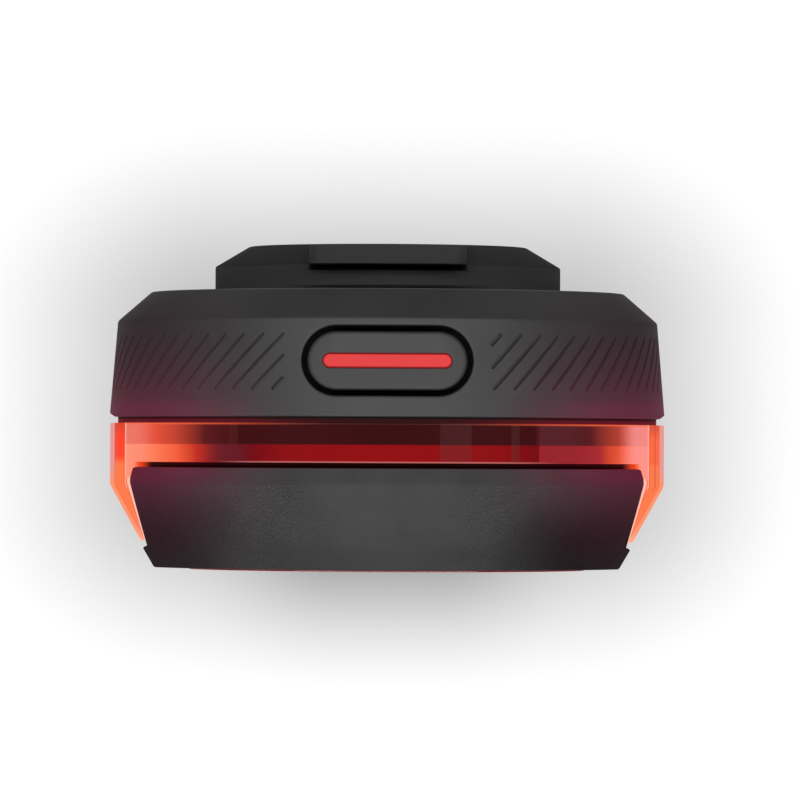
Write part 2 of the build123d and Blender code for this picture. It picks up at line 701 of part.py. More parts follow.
def inner_frame():
    """Moulded carrier: plate, board pegs, shelf for the button board and openings."""
    plate = slab(stadium(END_RADIUS - FRAME_INSET), FRAME_REAR, FRAME_THICKNESS)
    boss_margin = BUTTON_GAP + BUTTON_BOSS_MARGIN + FRAME_GAP
    plate -= button_prism(boss_margin, FLOOR_UNDERSIDE - BUTTON_SEAL_THICKNESS - FRAME_GAP, TOP)
    shelf_depth = FRAME_FRONT - BUTTON_BOARD_REAR
    middle = SHELF_TOP - SHELF_THICKNESS / 2
    plate += block(0, BUTTON_BOARD_REAR, middle, BUTTON_BOARD_LENGTH, shelf_depth, SHELF_THICKNESS)
    for x, z in rest_places():
        plate += block(x, FRAME_FRONT, z, REST_SIZE, BOARD_STANDOFF, REST_SIZE)
    for x, z in peg_places():
        plate += block(x, BOARD_REAR, z, PEG_SIZE, BOARD_THICKNESS + PEG_RISE, PEG_SIZE)
    for x, z in standoff_places():
        plate -= block(x, FRAME_REAR, z, STAKE_SIZE, FRAME_THICKNESS, STAKE_SIZE)
    opening = PORT_WIDTH + 2 * PORT_SEAL_WIDTH
    plate -= block(0, FRAME_REAR, PORT_Z, PORT_LENGTH + 2 * PORT_SEAL_WIDTH, FRAME_THICKNESS, opening)
    slot_middle = battery_top() + FLEX_SLOT_HEIGHT / 2
    slot_width = FLEX_WIDTH + 2 * FLEX_SLOT_GAP
    plate -= block(0, FRAME_REAR, slot_middle, slot_width, FRAME_THICKNESS, FLEX_SLOT_HEIGHT)
    for end in (1, -1):
        z = end * STANDOFF_SPACING / 4
        plate -= block(0, FRAME_REAR, z, FRAME_OPENING_WIDTH, FRAME_THICKNESS, FRAME_OPENING_HEIGHT)
    return plate


def main_board():
    """Capsule-shaped main circuit board on the frame's pegs."""
    board = slab(stadium(END_RADIUS - BOARD_INSET), BOARD_REAR, BOARD_THICKNESS)
    for x, z in peg_places():
        board -= block(x, BOARD_REAR, z, PEG_SIZE, BOARD_THICKNESS, PEG_SIZE)
    return board


def battery_top() -> float:
    """Upper end of the battery, below the button board's shelf."""
    return SHELF_TOP - SHELF_THICKNESS - BATTERY_TOP_GAP


def battery_bottom() -> float:
    """Lower end of the battery, above the hinge boss."""
    return HINGE_Z + HINGE_SWING + HINGE_BOSS_MARGIN + BATTERY_GAP


def battery_outline(margin: float):
    """Rectangle of the battery between the standoffs."""
    low, high = battery_bottom(), battery_top()
    width = 2 * (STANDOFF_X - STANDOFF_SIZE / 2 - BATTERY_GAP - margin)
    return Pos(0, (low + high) / 2) * Rectangle(width, high - low - 2 * margin)


def battery_pad():
    """Foam pad between the housing's back wall and the battery."""
    return slab(battery_outline(PAD_INSET), CAVITY_BACK, PAD_THICKNESS)


def battery_cell():
    """Flat lithium cell with soft edges."""
    rear = CAVITY_BACK + PAD_THICKNESS
    return slab(battery_outline(0), rear, FRAME_REAR - BATTERY_FRONT_GAP - rear)


def battery_flex():
    """Flat lead from the cell's top end, through the frame, to the main board."""
    start = battery_top()
    rear = CAVITY_BACK + PAD_THICKNESS + FLEX_START_DEPTH
    reach = BOARD_REAR - rear
    foot = block(0, rear, start + FLEX_RISE / 2, FLEX_WIDTH, FLEX_THICKNESS, FLEX_RISE)
    turn = start + FLEX_RISE - FLEX_THICKNESS / 2
    bridge = block(0, rear, turn, FLEX_WIDTH, reach, FLEX_THICKNESS)
    end = start + FLEX_RISE + FLEX_LAND / 2 - FLEX_THICKNESS
    land = block(0, BOARD_REAR - FLEX_THICKNESS, end, FLEX_WIDTH, FLEX_THICKNESS, FLEX_LAND)
    return foot + bridge + land


def usb_port_shell():
    """Stamped shell of the charging port, standing on the main board."""
    wall = port_outline(0) - port_outline(-PORT_SHELL)
    return slab(wall, PORT_MOUTH, BOARD_REAR - PORT_MOUTH)


def usb_port_tongue():
    """Contact tongue and its base inside the charging port."""
    base_rear = BOARD_REAR - TONGUE_BASE
    base = slab(port_outline(-PORT_SHELL), base_rear, TONGUE_BASE)
    start = PORT_MOUTH + TONGUE_RECESS
    return base + block(0, start, PORT_Z, TONGUE_LENGTH, base_rear - start, TONGUE_THICKNESS)


def usb_port_seal():
    """Elastomer collar round the charging port, behind the housing's boss."""
    collar = port_outline(PORT_SEAL_WIDTH - PORT_SEAL_GAP) - port_outline(0)
    return slab(collar, PORT_BOSS_FRONT, PORT_SEAL_THICKNESS)


def usb_cover():
    """Hinged rubber flap: plate, plug and hinge barrel."""
    flap = flap_plate(0, FLAP_THICKNESS)
    flap += slab(plug_outline(-FLAP_PLUG_GAP), BACK + FLAP_THICKNESS, FLAP_PLUG_DEPTH)
    flap += hinge_round(HINGE_DIAMETER, FLAP_LENGTH)
    return flap - hinge_round(HINGE_PIN_DIAMETER + 2 * HINGE_CLEARANCE, FLAP_LENGTH)


def usb_hinge_pin():
    """Steel pin of the flap's hinge, held by the housing."""
    return hinge_round(HINGE_PIN_DIAMETER, HINGE_PIN_LENGTH)


def led_places(end: int):
    """Front-view places of one row of front lights, at the top (1) or bottom (-1)."""
    first = -(LEDS_PER_ROW - 1) / 2 * LED_PITCH
    return [(first + i * LED_PITCH, end * LED_ROW_Z) for i in range(LEDS_PER_ROW)]


def front_led(x: float, z: float):
    """Square light package under a collimator's neck."""
    return block(x, BOARD_FRONT, z, LED_SIZE, LED_HEIGHT, LED_SIZE)


def front_optic(end: int):
    """Row of square collimators under one plate, on two legs."""
    plate_front = COVER_INNER - OPTIC_FRONT_GAP
    plate_rear = plate_front - OPTIC_PLATE
    neck = BOARD_FRONT + LED_HEIGHT + OPTIC_LED_GAP
    width = (LEDS_PER_ROW - 1) * LED_PITCH + OPTIC_SIZE + 2 * OPTIC_MARGIN
    height = OPTIC_SIZE + 2 * OPTIC_MARGIN
    optic = slab(Pos(0, end * LED_ROW_Z) * Rectangle(width, height), plate_rear, OPTIC_PLATE)
    near = (OPTIC_SIZE - OPTIC_NECK) / 2
    far = near + OPTIC_NECK
    for x, z in led_places(end):
        cone = Wedge(OPTIC_SIZE, plate_rear - neck, OPTIC_SIZE, near, near, far, far)
        optic += Pos(x, -(plate_rear + neck) / 2, z) * cone
    for side in (-1, 1):
        x = side * (width - OPTIC_LEG) / 2
        z = end * (LED_ROW_Z - (height - OPTIC_LEG) / 2)
        optic += block(x, BOARD_FRONT, z, OPTIC_LEG, plate_rear - BOARD_FRONT, OPTIC_LEG)
    return optic


def side_led(side: int, step: int):
    """Side-firing light package at the main board's edge."""
    z = (step - (SIDE_LEDS - 1) / 2) * SIDE_LED_PITCH
    x = side * (END_RADIUS - BOARD_INSET - SIDE_LED_WIDTH / 2 - SIDE_LED_INSET)
    return block(x, BOARD_FRONT, z, SIDE_LED_WIDTH, LED_HEIGHT, SIDE_LED_LENGTH)


def radar_board():
    """Radar circuit board, carried in front of the main board."""
    return slab(Rectangle(RADAR_WIDTH, RADAR_HEIGHT), RADAR_REAR, RADAR_THICKNESS)


def radar_chip():
    """Radar chip on the rear of its board."""
    outline = Pos(0, RADAR_CHIP_RISE) * Rectangle(RADAR_CHIP_SIZE, RADAR_CHIP_SIZE)
    return slab(outline, RADAR_REAR - RADAR_CHIP_HEIGHT, RADAR_CHIP_HEIGHT)


def antenna_array():
    """Copper patches in columns, joined by their feed lines."""
    columns = [(i - (PATCH_COLUMNS - 1) / 2) * PATCH_PITCH for i in range(PATCH_COLUMNS)]
    rows = [(i - (PATCH_ROWS - 1) / 2) * PATCH_PITCH for i in range(PATCH_ROWS)]
    foot = rows[0] - PATCH_PITCH / 2 - PATCH_SIZE / 2
    width = columns[-1] - columns[0] + FEED_WIDTH
    copper = Pos(0, foot) * Rectangle(width, FEED_WIDTH)
    for x in columns:
        copper += Pos(x, (rows[-1] + foot) / 2) * Rectangle(FEED_WIDTH, rows[-1] - foot)
        for z in rows:
            copper += Pos(x, z) * Rectangle(PATCH_SIZE, PATCH_SIZE)
    return slab(copper, RADAR_REAR + RADAR_THICKNESS, PATCH_THICKNESS)


def board_connector():
    """Connector between the main board and the radar board."""
    z = -RADAR_HEIGHT / 2 + CONNECTOR_WIDTH
    return block(0, BOARD_FRONT, z, CONNECTOR_LENGTH, RADAR_STANDOFF, CONNECTOR_WIDTH)


def radar_spacer(side: int):
    """Square spacer under one upper corner of the radar board."""
    x = side * (RADAR_WIDTH / 2 - SPACER_SIZE)
    z = RADAR_HEIGHT / 2 - SPACER_SIZE
    return block(x, BOARD_FRONT, z, SPACER_SIZE, RADAR_STANDOFF, SPACER_SIZE)


def build_nodes():
    """Every piece of the light under its node name."""
    nodes = {
        "rear_housing": rear_housing(),
        "rear_seal": rear_seal(),
        "side_lens": side_lens(),
        "front_seal": front_seal(),
        "front_cover": front_cover(),
        "front_window": front_window(),
        "radar_mask": radar_mask(),
        "quarter_turn_hub": quarter_turn_hub(),
        "button_cap": button_cap(),
        "button_light_pipe": button_light_pipe(),
        "button_seal": button_seal(),
        "tact_switch": tact_switch(),
        "switch_plunger": switch_plunger(),
        "button_board": button_board(),
        "status_led": status_led(),
        "inner_frame": inner_frame(),
        "main_board": main_board(),
        "battery_pad": battery_pad(),
        "battery_cell": battery_cell(),
        "battery_flex": battery_flex(),
        "usb_port_shell": usb_port_shell(),
        "usb_port_tongue": usb_port_tongue(),
        "usb_port_seal": usb_port_seal(),
        "usb_cover": usb_cover(),
        "usb_hinge_pin": usb_hinge_pin(),
        "front_optic_upper": front_optic(1),
        "front_optic_lower": front_optic(-1),
        "radar_board": radar_board(),
        "radar_chip": radar_chip(),
        "antenna_array": antenna_array(),
        "board_connector": board_connector(),
        "radar_spacer_left": radar_spacer(-1),
        "radar_spacer_right": radar_spacer(1),
    }
    for number, (x, z) in enumerate(hub_screw_places(), start=1):
        nodes[f"hub_screw_{number}"] = hub_screw(x, z)
    for name, end in (("upper", 1), ("lower", -1)):
        for number, (x, z) in enumerate(led_places(end), start=1):
            nodes[f"front_led_{name}_{number}"] = front_led(x, z)
    for name, side in (("left", -1), ("right", 1)):
        for step in range(SIDE_LEDS):
            nodes[f"side_led_{name}_{step + 1}"] = side_led(side, step)
    return nodes


os.makedirs("parts", exist_ok=True)
for node, solid in build_nodes().items():
    export_step(solid, f"parts/{node}.step")
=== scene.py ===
"""Bicycle radar tail light, dressed for close views in the same frame as its solids.

Sizes are in millimetres until a mesh is made. A depth is the distance from the mount's flat back face
towards the front, so a point at depth d has y = -d. The end that faces up is at z = 48.
"""

from __future__ import annotations

import json
import logging
import math
from dataclasses import astuple, dataclass, field
from enum import Enum
from typing import Callable, Iterable, Sequence

import bmesh
import bpy
from bpy.types import ID, ColorRamp, Material, Mesh, NodeOutputs, NodeSocket, NodeTree, Object
from mathutils import Euler, Matrix, Vector

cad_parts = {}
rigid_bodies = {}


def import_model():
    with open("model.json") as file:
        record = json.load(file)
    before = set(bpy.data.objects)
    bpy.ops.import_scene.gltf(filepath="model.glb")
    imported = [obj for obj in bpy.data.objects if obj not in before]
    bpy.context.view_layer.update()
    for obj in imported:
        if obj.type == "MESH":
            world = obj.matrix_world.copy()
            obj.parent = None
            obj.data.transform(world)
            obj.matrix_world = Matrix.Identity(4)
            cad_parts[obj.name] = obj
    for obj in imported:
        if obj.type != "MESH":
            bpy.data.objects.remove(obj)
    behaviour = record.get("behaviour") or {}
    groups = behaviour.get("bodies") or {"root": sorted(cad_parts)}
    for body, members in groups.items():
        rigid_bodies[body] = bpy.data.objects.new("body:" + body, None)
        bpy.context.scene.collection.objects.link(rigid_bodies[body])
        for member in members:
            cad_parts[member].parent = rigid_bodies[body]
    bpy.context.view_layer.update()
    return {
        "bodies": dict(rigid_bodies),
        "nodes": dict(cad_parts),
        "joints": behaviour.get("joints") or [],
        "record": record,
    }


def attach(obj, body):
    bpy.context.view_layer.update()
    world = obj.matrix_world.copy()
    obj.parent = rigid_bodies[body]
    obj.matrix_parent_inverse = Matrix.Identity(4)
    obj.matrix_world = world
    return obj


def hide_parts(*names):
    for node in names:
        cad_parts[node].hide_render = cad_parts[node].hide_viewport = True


MM = 0.001
RISE = 28.0  # height of the centres of the round ends
BUTTON_CENTRE = 9.18  # depth of the button's centre line
PORT_Z = -32.0  # height of the charging port's axis
HINGE_Z = -26.9  # height of the flap's hinge
SCREW_X = 7.5  # distance of the mount's screws from the middle
BOARD_FRONT = 15.6  # depth of the main board's front
LOG = logging.getLogger("tail_light")

Point2 = tuple[float, float]
Colour = tuple[float, float, float]
Finishes = dict[str, Material]


class Body(Enum):
    """Bodies of the frame that a piece can ride on."""

    LIGHT = "light_body"
    BUTTON = "button"
    FLAP = "port_flap"


class Grain(Enum):
    """Surface textures of the moulded parts."""

    SATIN = "satin"
    LEATHER = "leather"


@dataclass(frozen=True)
class Level:
    """Outline of a stacked piece at one depth: a capsule, trimmed flat along both sides.

    Args:
        depth: Distance from the mount's back face.
        radius: Radius of the capsule's ends.
        trim: Half width at the flat sides. At or past the radius, nothing is trimmed.
        corner: Radius that joins a flat side to the round end.
    """

    depth: float
    radius: float
    trim: float = 99.0
    corner: float = 0.3

    def mixed(self, other: "Level", share: float) -> "Level":
        """Level part of the way to another."""
        return Level(*(a + (b - a) * share for a, b in zip(astuple(self), astuple(other))))

    def gap(self, other: "Level") -> float:
        """Distance to another level in depth and radius."""
        return math.hypot(self.depth - other.depth, self.radius - other.radius)


def eased(levels: Sequence[Level], rounding: float, closed: bool = False) -> list[Level]:
    """Rounds every corner of a chain of levels.

    Args:
        levels: Corner levels of the profile, in order.
        rounding: Length that each corner gives up on both its sides.
        closed: Whether the chain joins its own start.

    Returns:
        The longer chain of levels.
    """
    count, steps, most = len(levels), 3, 0.45
    chain: list[Level] = []
    for i, level in enumerate(levels):
        if not closed and i in (0, count - 1):
            chain.append(level)
            continue
        start, end = (level.mixed(near, min(most, rounding / max(level.gap(near), 1e-6)))
                      for near in (levels[i - 1], levels[(i + 1) % count]))
        for step in range(steps + 1):
            share = step / steps
            chain.append(start.mixed(level, share).mixed(level.mixed(end, share), share))
    return chain


def arc(radius: float, start: float, end: float, steps: int, centre: Point2 = (0.0, 0.0)) -> list[Point2]:
    """Points along an arc, both ends among them, with the angles in degrees.

    Args:
        radius: Radius of the arc.
        start: Angle of its first point.
        end: Angle of its last point.
        steps: Number of segments.
        centre: Centre of the arc.

    Returns:
        The points, in order.
    """
    points = []
    for k in range(steps + 1):
        angle = math.radians(start + (end - start) * k / steps)
        points.append((centre[0] + radius * math.cos(angle), centre[1] + radius * math.sin(angle)))
    return points


def capsule(level: Level, arc_steps: int = 46, corner_steps: int = 5) -> list[Vector]:
    """Whole outline of a level, in metres.

    Args:
        level: The level.
        arc_steps: Segments in a quarter of a round end.
        corner_steps: Segments in a corner between a flat side and a round end.

    Returns:
        Points, always the same number of them.
    """
    radius, trim = level.radius, min(level.trim, level.radius)
    if trim >= radius - 1e-6:
        start, trim, bend, centre = math.radians(2.0), radius, radius, (0.0, RISE)
    else:
        bend = min(level.corner, 0.9 * (radius - trim) + 0.02)
        x = trim - bend
        centre = (x, RISE + math.sqrt((radius - bend) ** 2 - x ** 2))
        start = math.atan2(centre[1] - RISE, x)
    quarter = [(trim, 0.0), (trim, centre[1])]
    for k in range(1, corner_steps + 1):
        angle = start * k / corner_steps
        quarter.append((centre[0] + bend * math.cos(angle), centre[1] + bend * math.sin(angle)))
    for k in range(1, arc_steps + 1):
        angle = start + (math.pi / 2 - start) * k / arc_steps
        quarter.append((radius * math.cos(angle), RISE + radius * math.sin(angle)))
    top = quarter[1:] + [(-x, z) for x, z in reversed(quarter[:-1])]
    return [Vector((x * MM, -level.depth * MM, z * MM)) for x, z in top + [(-x, -z) for x, z in top]]


def obround(length: float, width: float, steps: int = 12) -> list[Point2]:
    """Outline with two straight sides and two round ends, long along its first axis.

    Args:
        length: Length over both ends.
        width: Width, which is also the ends' diameter.
        steps: Segments in each round end.

    Returns:
        The outline, anticlockwise.
    """
    radius, reach = width / 2, (length - width) / 2
    points = []
    for side, start in ((1, -90.0), (-1, 90.0)):
        points += arc(radius, start, start + 180.0, steps, (side * reach, 0.0))
    return points


def rounded_box(half_x: float, half_z: float, corner: float, steps: int = 4) -> list[Point2]:
    """Outline of a rectangle with round corners.

    Args:
        half_x: Half the width.
        half_z: Half the height.
        corner: Radius of the corners.
        steps: Segments in each corner.

    Returns:
        The outline, anticlockwise.
    """
    points = []
    for i, (sx, sz) in enumerate(((1, 1), (-1, 1), (-1, -1), (1, -1))):
        points += arc(corner, 90.0 * i, 90.0 * (i + 1), steps, (sx * (half_x - corner), sz * (half_z - corner)))
    return points


def box(half_x: float, half_z: float) -> list[Point2]:
    """Outline of a rectangle with sharp corners."""
    return [(-half_x, -half_z), (half_x, -half_z), (half_x, half_z), (-half_x, half_z)]


def circle(radius: float, steps: int) -> list[Point2]:
    """Circle as an outline."""
    turns = [2 * math.pi * k / steps for k in range(steps)]
    return [(radius * math.cos(a), radius * math.sin(a)) for a in turns]


def hanging(half: float, low: float, high: float, corner: float, steps: int) -> list[Point2]:
    """Outline of a rectangle whose two lower corners are round.

    Args:
        half: Half the width.
        low: Height of the lower edge.
        high: Height of the upper edge.
        corner: Radius of the lower corners.
        steps: Segments in each of them.

    Returns:
        The outline, anticlockwise.
    """
    points = [(half, high), (-half, high)]
    for side, start in ((-1, 180.0), (1, 270.0)):
        points += arc(corner, start, start + 90.0, steps, (side * (half - corner), low + corner))
    return points


class Shaper:
    """Makes meshes and objects, and joins, cuts and finishes them."""

    def object(self, name: str, mesh: Mesh) -> Object:
        """New object in the scene for a mesh.

        Args:
            name: Name of the object.
            mesh: Its mesh.

        Returns:
            The new object.
        """
        made = bpy.data.objects.new(name, mesh)
        bpy.context.scene.collection.objects.link(made)
        return made

    def points(self, name: str, places: Iterable[Vector]) -> Object:
        """Object that has only points, in metres.

        Args:
            name: Name of the object.
            places: Where the points are.

        Returns:
            The new object.
        """
        mesh = bpy.data.meshes.new(name)
        mesh.from_pydata([tuple(place) for place in places], [], [])
        return self.object(name, mesh)

    def from_faces(self, name: str, points: Sequence[Vector], faces: Iterable[Sequence[int]]) -> Object:
        """Object from points and faces, with its faces turned outwards.

        Args:
            name: Name of the object.
            points: Corners, in metres.
            faces: Corner numbers of each face.

        Returns:
            The new object.
        """
        mesh = bpy.data.meshes.new(name)
        mesh.from_pydata([tuple(p) for p in points], [], [list(f) for f in faces])
        work = bmesh.new()
        work.from_mesh(mesh)
        bmesh.ops.remove_doubles(work, verts=work.verts, dist=0.002 * MM)
        bmesh.ops.recalc_face_normals(work, faces=work.faces)
        work.to_mesh(mesh)
        work.free()
        return self.object(name, mesh)

    def stack(self, name: str, rings: Sequence[Sequence[Vector]], closed: bool = False) -> Object:
        """Skin over a stack of rings that have the same number of points.

        Args:
            name: Name of the object.
            rings: Outlines, in order.
            closed: Whether the last ring joins the first, rather than both being capped.

        Returns:
            The new object, a closed solid.
        """
        count, total = len(rings[0]), len(rings)
        faces: list[list[int]] = []
        for i in range(total if closed else total - 1):
            here, there = i * count, (i + 1) % total * count
            for j in range(count):
                k = (j + 1) % count
                faces.append([here + j, here + k, there + k, there + j])
        if not closed:
            faces += [list(range(count)), [(total - 1) * count + j for j in reversed(range(count))]]
        return self.from_faces(name, [p for ring in rings for p in ring], faces)

    def shell(self, name: str, levels: Iterable[Level], closed: bool = False) -> Object:
        """Skin over a chain of capsule levels."""
        return self.stack(name, [capsule(level) for level in levels], closed)

    def loft(self, name: str, outlines: Iterable[tuple[float, Sequence[Point2]]], at: Point2 = (0.0, 0.0),
             closed: bool = False) -> Object:
        """Skin over outlines that are seen from the front.

        Args:
            name: Name of the object.
            outlines: Depth and points of each outline.
            at: Where the outlines' origin is put.
            closed: Whether the last outline joins the first.

        Returns:
            The new object.
        """
        rings = [[Vector((x + at[0], -depth, z + at[1])) * MM for x, z in outline] for depth, outline in outlines]
        return self.stack(name, rings, closed)

    def turned(self, name: str, profile: Iterable[Point2], steps: int) -> Object:
        """Round part on the origin's axis, from the depth and radius of each of its rings."""
        return self.loft(name, [(depth, circle(radius, steps)) for depth, radius in profile])

    def post(self, name: str, outline: Sequence[Point2], low: float, high: float, at: Point2 = (0.0, 0.0)) -> Object:
        """Straight prism between two depths."""
        return self.loft(name, ((low, outline), (high, outline)), at)

    def upright(self, name: str, outline: Sequence[Point2], low: float, high: float, x: float = 0.0) -> Object:
        """Straight prism between two heights, on the button's centre line."""
        return self.stack(name, [[Vector((x + u, v - BUTTON_CENTRE, z)) * MM for u, v in outline] for z in (low, high)])

    def baked(self, piece: Object) -> Object:
        """Applies a piece's modifiers to its mesh.

        Args:
            piece: Object whose modifiers are used up.

        Returns:
            The same object, with its new mesh.
        """
        graph = bpy.context.evaluated_depsgraph_get()
        mesh = bpy.data.meshes.new_from_object(piece.evaluated_get(graph))
        piece.modifiers.clear()
        piece.data = mesh
        return piece

    def joined(self, piece: Object, *others: Object, operation: str = "UNION") -> Object:
        """Joins other solids to a piece, or cuts them away, and removes them.

        Args:
            piece: Solid that is kept.
            *others: Solids that are used up, in turn.
            operation: UNION or DIFFERENCE.

        Returns:
            The piece, with its new mesh.
        """
        for other in others:
            step = piece.modifiers.new("Combine", "BOOLEAN")
            step.operation, step.object, step.solver = operation, other, "EXACT"
            self.baked(piece)
            bpy.data.objects.remove(other)
        return piece

    def cut(self, piece: Object, *others: Object) -> Object:
        """Piece with other solids taken away."""
        return self.joined(piece, *others, operation="DIFFERENCE")

    def soften(self, piece: Object, width: float, chosen: Callable[[Vector, list[Vector]], bool]) -> None:
        """Rounds the edges of a piece that a test picks out.

        Args:
            piece: Object whose mesh is changed.
            width: Width of the rounding, in millimetres.
            chosen: Test on an edge's middle, in millimetres, and its faces' normals.
        """
        sharp = math.radians(24)
        work = bmesh.new()
        work.from_mesh(piece.data)
        bmesh.ops.remove_doubles(work, verts=work.verts, dist=0.004 * MM)
        edges = [
            e for e in work.edges
            if len(e.link_faces) == 2 and e.calc_face_angle(0) > sharp
            and chosen((e.verts[0].co + e.verts[1].co) / (2 * MM), [f.normal for f in e.link_faces])
        ]
        bmesh.ops.bevel(work, geom=edges, offset=width * MM, segments=3, profile=0.5, affect="EDGES",
                        clamp_overlap=False)
        work.to_mesh(piece.data)
        work.free()

    def grown(self, points: Object, group: NodeTree, values: dict[str, object]) -> Object:
        """Runs a geometry tree on an object and keeps the result as a plain mesh.

        Args:
            points: Object that the tree starts from.
            group: The tree.
            values: Values of its inputs, by name.

        Returns:
            The same object, with its new mesh.
        """
        step = points.modifiers.new("Grown", "NODES")
        step.node_group = group
        for item in group.interface.items_tree:
            if item.item_type == "SOCKET" and item.in_out == "INPUT" and item.name in values:
                step[item.identifier] = values[item.name]
        return self.baked(points)

    def finish(self, piece: Object, crease: float = 32.0) -> Object:
        """Smooth shading with even flats and crisp creases.

        Args:
            piece: Object to finish.
            crease: Sharpest angle that is shaded smooth, in degrees.

        Returns:
            The same object.
        """
        piece.data.shade_smooth()
        piece.data.set_sharp_from_angle(angle=math.radians(crease))
        step = piece.modifiers.new("Even", "WEIGHTED_NORMAL")
        step.keep_sharp, step.weight = True, 100
        return self.baked(piece)

    def shade_exactly(self, piece: Object, normal: Callable[[Vector], Vector | None], within: float = 5.0) -> None:
        """Gives faces that lie on a known surface that surface's own normals.

        Args:
            piece: Object whose mesh is shaded.
            normal: Surface normal at a point in millimetres, or None off the surface.
            within: Largest angle, in degrees, between a face and the surface that it lies on.
        """
        mesh, least = piece.data, math.cos(math.radians(within))
        normals = [corner.vector.copy() for corner in mesh.corner_normals]
        for face in mesh.polygons:
            for corner in face.loop_indices:
                exact = normal(mesh.vertices[mesh.loops[corner].vertex_index].co / MM)
                if exact and exact.dot(face.normal) > least:
                    normals[corner] = exact
        mesh.normals_split_custom_set(normals)


SHAPER = Shaper()


@dataclass(frozen=True)
class Stations:
    """Depths, radii and insets that the parts share.

    Args:
        end_radius: Radius of the body's round ends.
        top: Height of the end that faces up.
        back: Depth of the housing's flat back.
        back_radius: Radius of the flat back's ends.
        crease: Depth at which the housing's slope meets its side.
        parting: Depth of the housing's front edge.
        lens_rear: Depth of the lens's back.
        lens_shoulder: Depth of the band's front.
        lens_straight: Extent of the lens's straight outer face along the depth.
        lens_outer: Radius of that face.
        lens_tip: Depth of the wings' front.
        lens_tip_radius: Radius there.
        cover_rear: Depth of the cover's back.
        cover_shoulder: Depth at which the cover's ends are widest.
        flank_front: Depth at which the slanting flanks end.
        lip_rear: Depth of the lip's back.
        cover_front: Depth of the cover's front.
        crease_inset: How far the housing's side comes in at the crease.
        flank_rear_inset: How far the flanks come in at the shoulder.
        flank_front_inset: How far they come in at the lip.
        flank_corner: How far they come in again at the cover's back.
    """

    end_radius: float = 20.0
    top: float = 48.0
    back: float = 4.1
    back_radius: float = 17.0
    crease: float = 6.2
    parting: float = 13.1
    lens_rear: float = 13.53
    lens_shoulder: float = 16.3
    lens_straight: float = 4.41
    lens_outer: float = 19.95
    lens_tip: float = 21.95
    lens_tip_radius: float = 17.73
    cover_rear: float = 16.68
    cover_shoulder: float = 17.75
    flank_front: float = 22.24
    lip_rear: float = 22.38
    cover_front: float = 23.8
    crease_inset: float = 0.58
    flank_rear_inset: float = 1.75
    flank_front_inset: float = 3.0
    flank_corner: float = 0.3

    @property
    def flank_slope(self) -> float:
        """How far the cover's flank comes in over each millimetre of depth."""
        return (self.flank_front_inset - self.flank_rear_inset) / (self.flank_front - self.cover_shoulder)

    @property
    def lens_slope(self) -> float:
        """How far the lens's slanting part comes in over each millimetre of depth."""
        return (self.lens_outer - self.lens_tip_radius) / (self.lens_tip - self.lens_rear - self.lens_straight)

    def skin(self, depth: float) -> float:
        """Radius of the housing's drafted side at a depth."""
        share = (depth - self.crease) / (self.parting - self.crease)
        return self.end_radius - self.crease_inset * (1 - share)

    def roof(self, x: float, depth: float) -> float:
        """Height of the housing's top above a point of the plan."""
        return RISE + math.sqrt(self.skin(depth) ** 2 - x * x)

    def flank(self, depth: float, gap: float = 0.0) -> float:
        """Half width between the cover's slanting flanks at a depth.

        Args:
            depth: Where it is measured.
            gap: Distance kept outside the flank.

        Returns:
            Half the width.
        """
        rear = self.end_radius - self.flank_rear_inset + gap
        if depth >= self.cover_shoulder:
            return rear - self.flank_slope * (depth - self.cover_shoulder)
        share = max(0.0, (depth - self.cover_rear) / (self.cover_shoulder - self.cover_rear))
        return rear - self.flank_corner * (1 - share)


STATIONS = Stations()


class Term:
    """Shader socket that takes part in Python arithmetic."""

    def __init__(self, paint: "Paint", socket: NodeSocket) -> None:
        """Wraps a socket of a material."""
        self.paint = paint
        self.socket = socket

    def _math(self, operation: str, *values: "Term | float") -> "Term":
        """Math node of this operation."""
        return self.paint.node("ShaderNodeMath", {"operation": operation}, dict(enumerate(values)))

    def __add__(self, other: "Term | float") -> "Term":
        """This plus another."""
        return self._math("ADD", self, other)

    def __mul__(self, other: "Term | float") -> "Term":
        """This times another."""
        return self._math("MULTIPLY", self, other)

    __radd__, __rmul__ = __add__, __mul__

    def __sub__(self, other: "Term | float") -> "Term":
        """This minus another."""
        return self._math("SUBTRACT", self, other)

    def __rsub__(self, other: float) -> "Term":
        """Another minus this."""
        return self._math("SUBTRACT", other, self)

    def __truediv__(self, other: "Term | float") -> "Term":
        """This over another."""
        return self._math("DIVIDE", self, other)

    def __abs__(self) -> "Term":
        """Size without sign."""
        return self._math("ABSOLUTE", self)

    def powered(self, exponent: float) -> "Term":
        """This to a power."""
        return self._math("POWER", self, exponent)

    def decay(self, length: float) -> "Term":
        """Exponential fall from 1 at zero, by a factor of e over each length."""
        return self._math("EXPONENT", self * (-1.0 / length))

    def least(self, other: "Term | float") -> "Term":
        """Lower of the two."""
        return self._math("MINIMUM", self, other)

    def most(self, other: "Term | float") -> "Term":
        """Higher of the two."""
        return self._math("MAXIMUM", self, other)

    def distance(self, other: "Term") -> "Term":
        """Length of the vector that has these two as its parts."""
        return (self * self + other * other).powered(0.5)

    def ramp(self, low: float, high: float) -> "Term":
        """Smooth step from 0 at one value to 1 at another, which may be the lower one.

        Args:
            low: Value at which the step is 0.
            high: Value at which it is 1.

        Returns:
            The step.
        """
        inputs = {"Value": self, "From Min": min(low, high), "From Max": max(low, high)}
        if low > high:
            inputs |= {"To Min": 1.0, "To Max": 0.0}
        return self.paint.node("ShaderNodeMapRange", {"interpolation_type": "SMOOTHSTEP"}, inputs)

    def between(self, *corners: float) -> "Term":
        """Smooth bump that rises between the first two of four values and falls between the last two."""
        return self.ramp(*corners[:2]) * self.ramp(*reversed(corners[2:]))


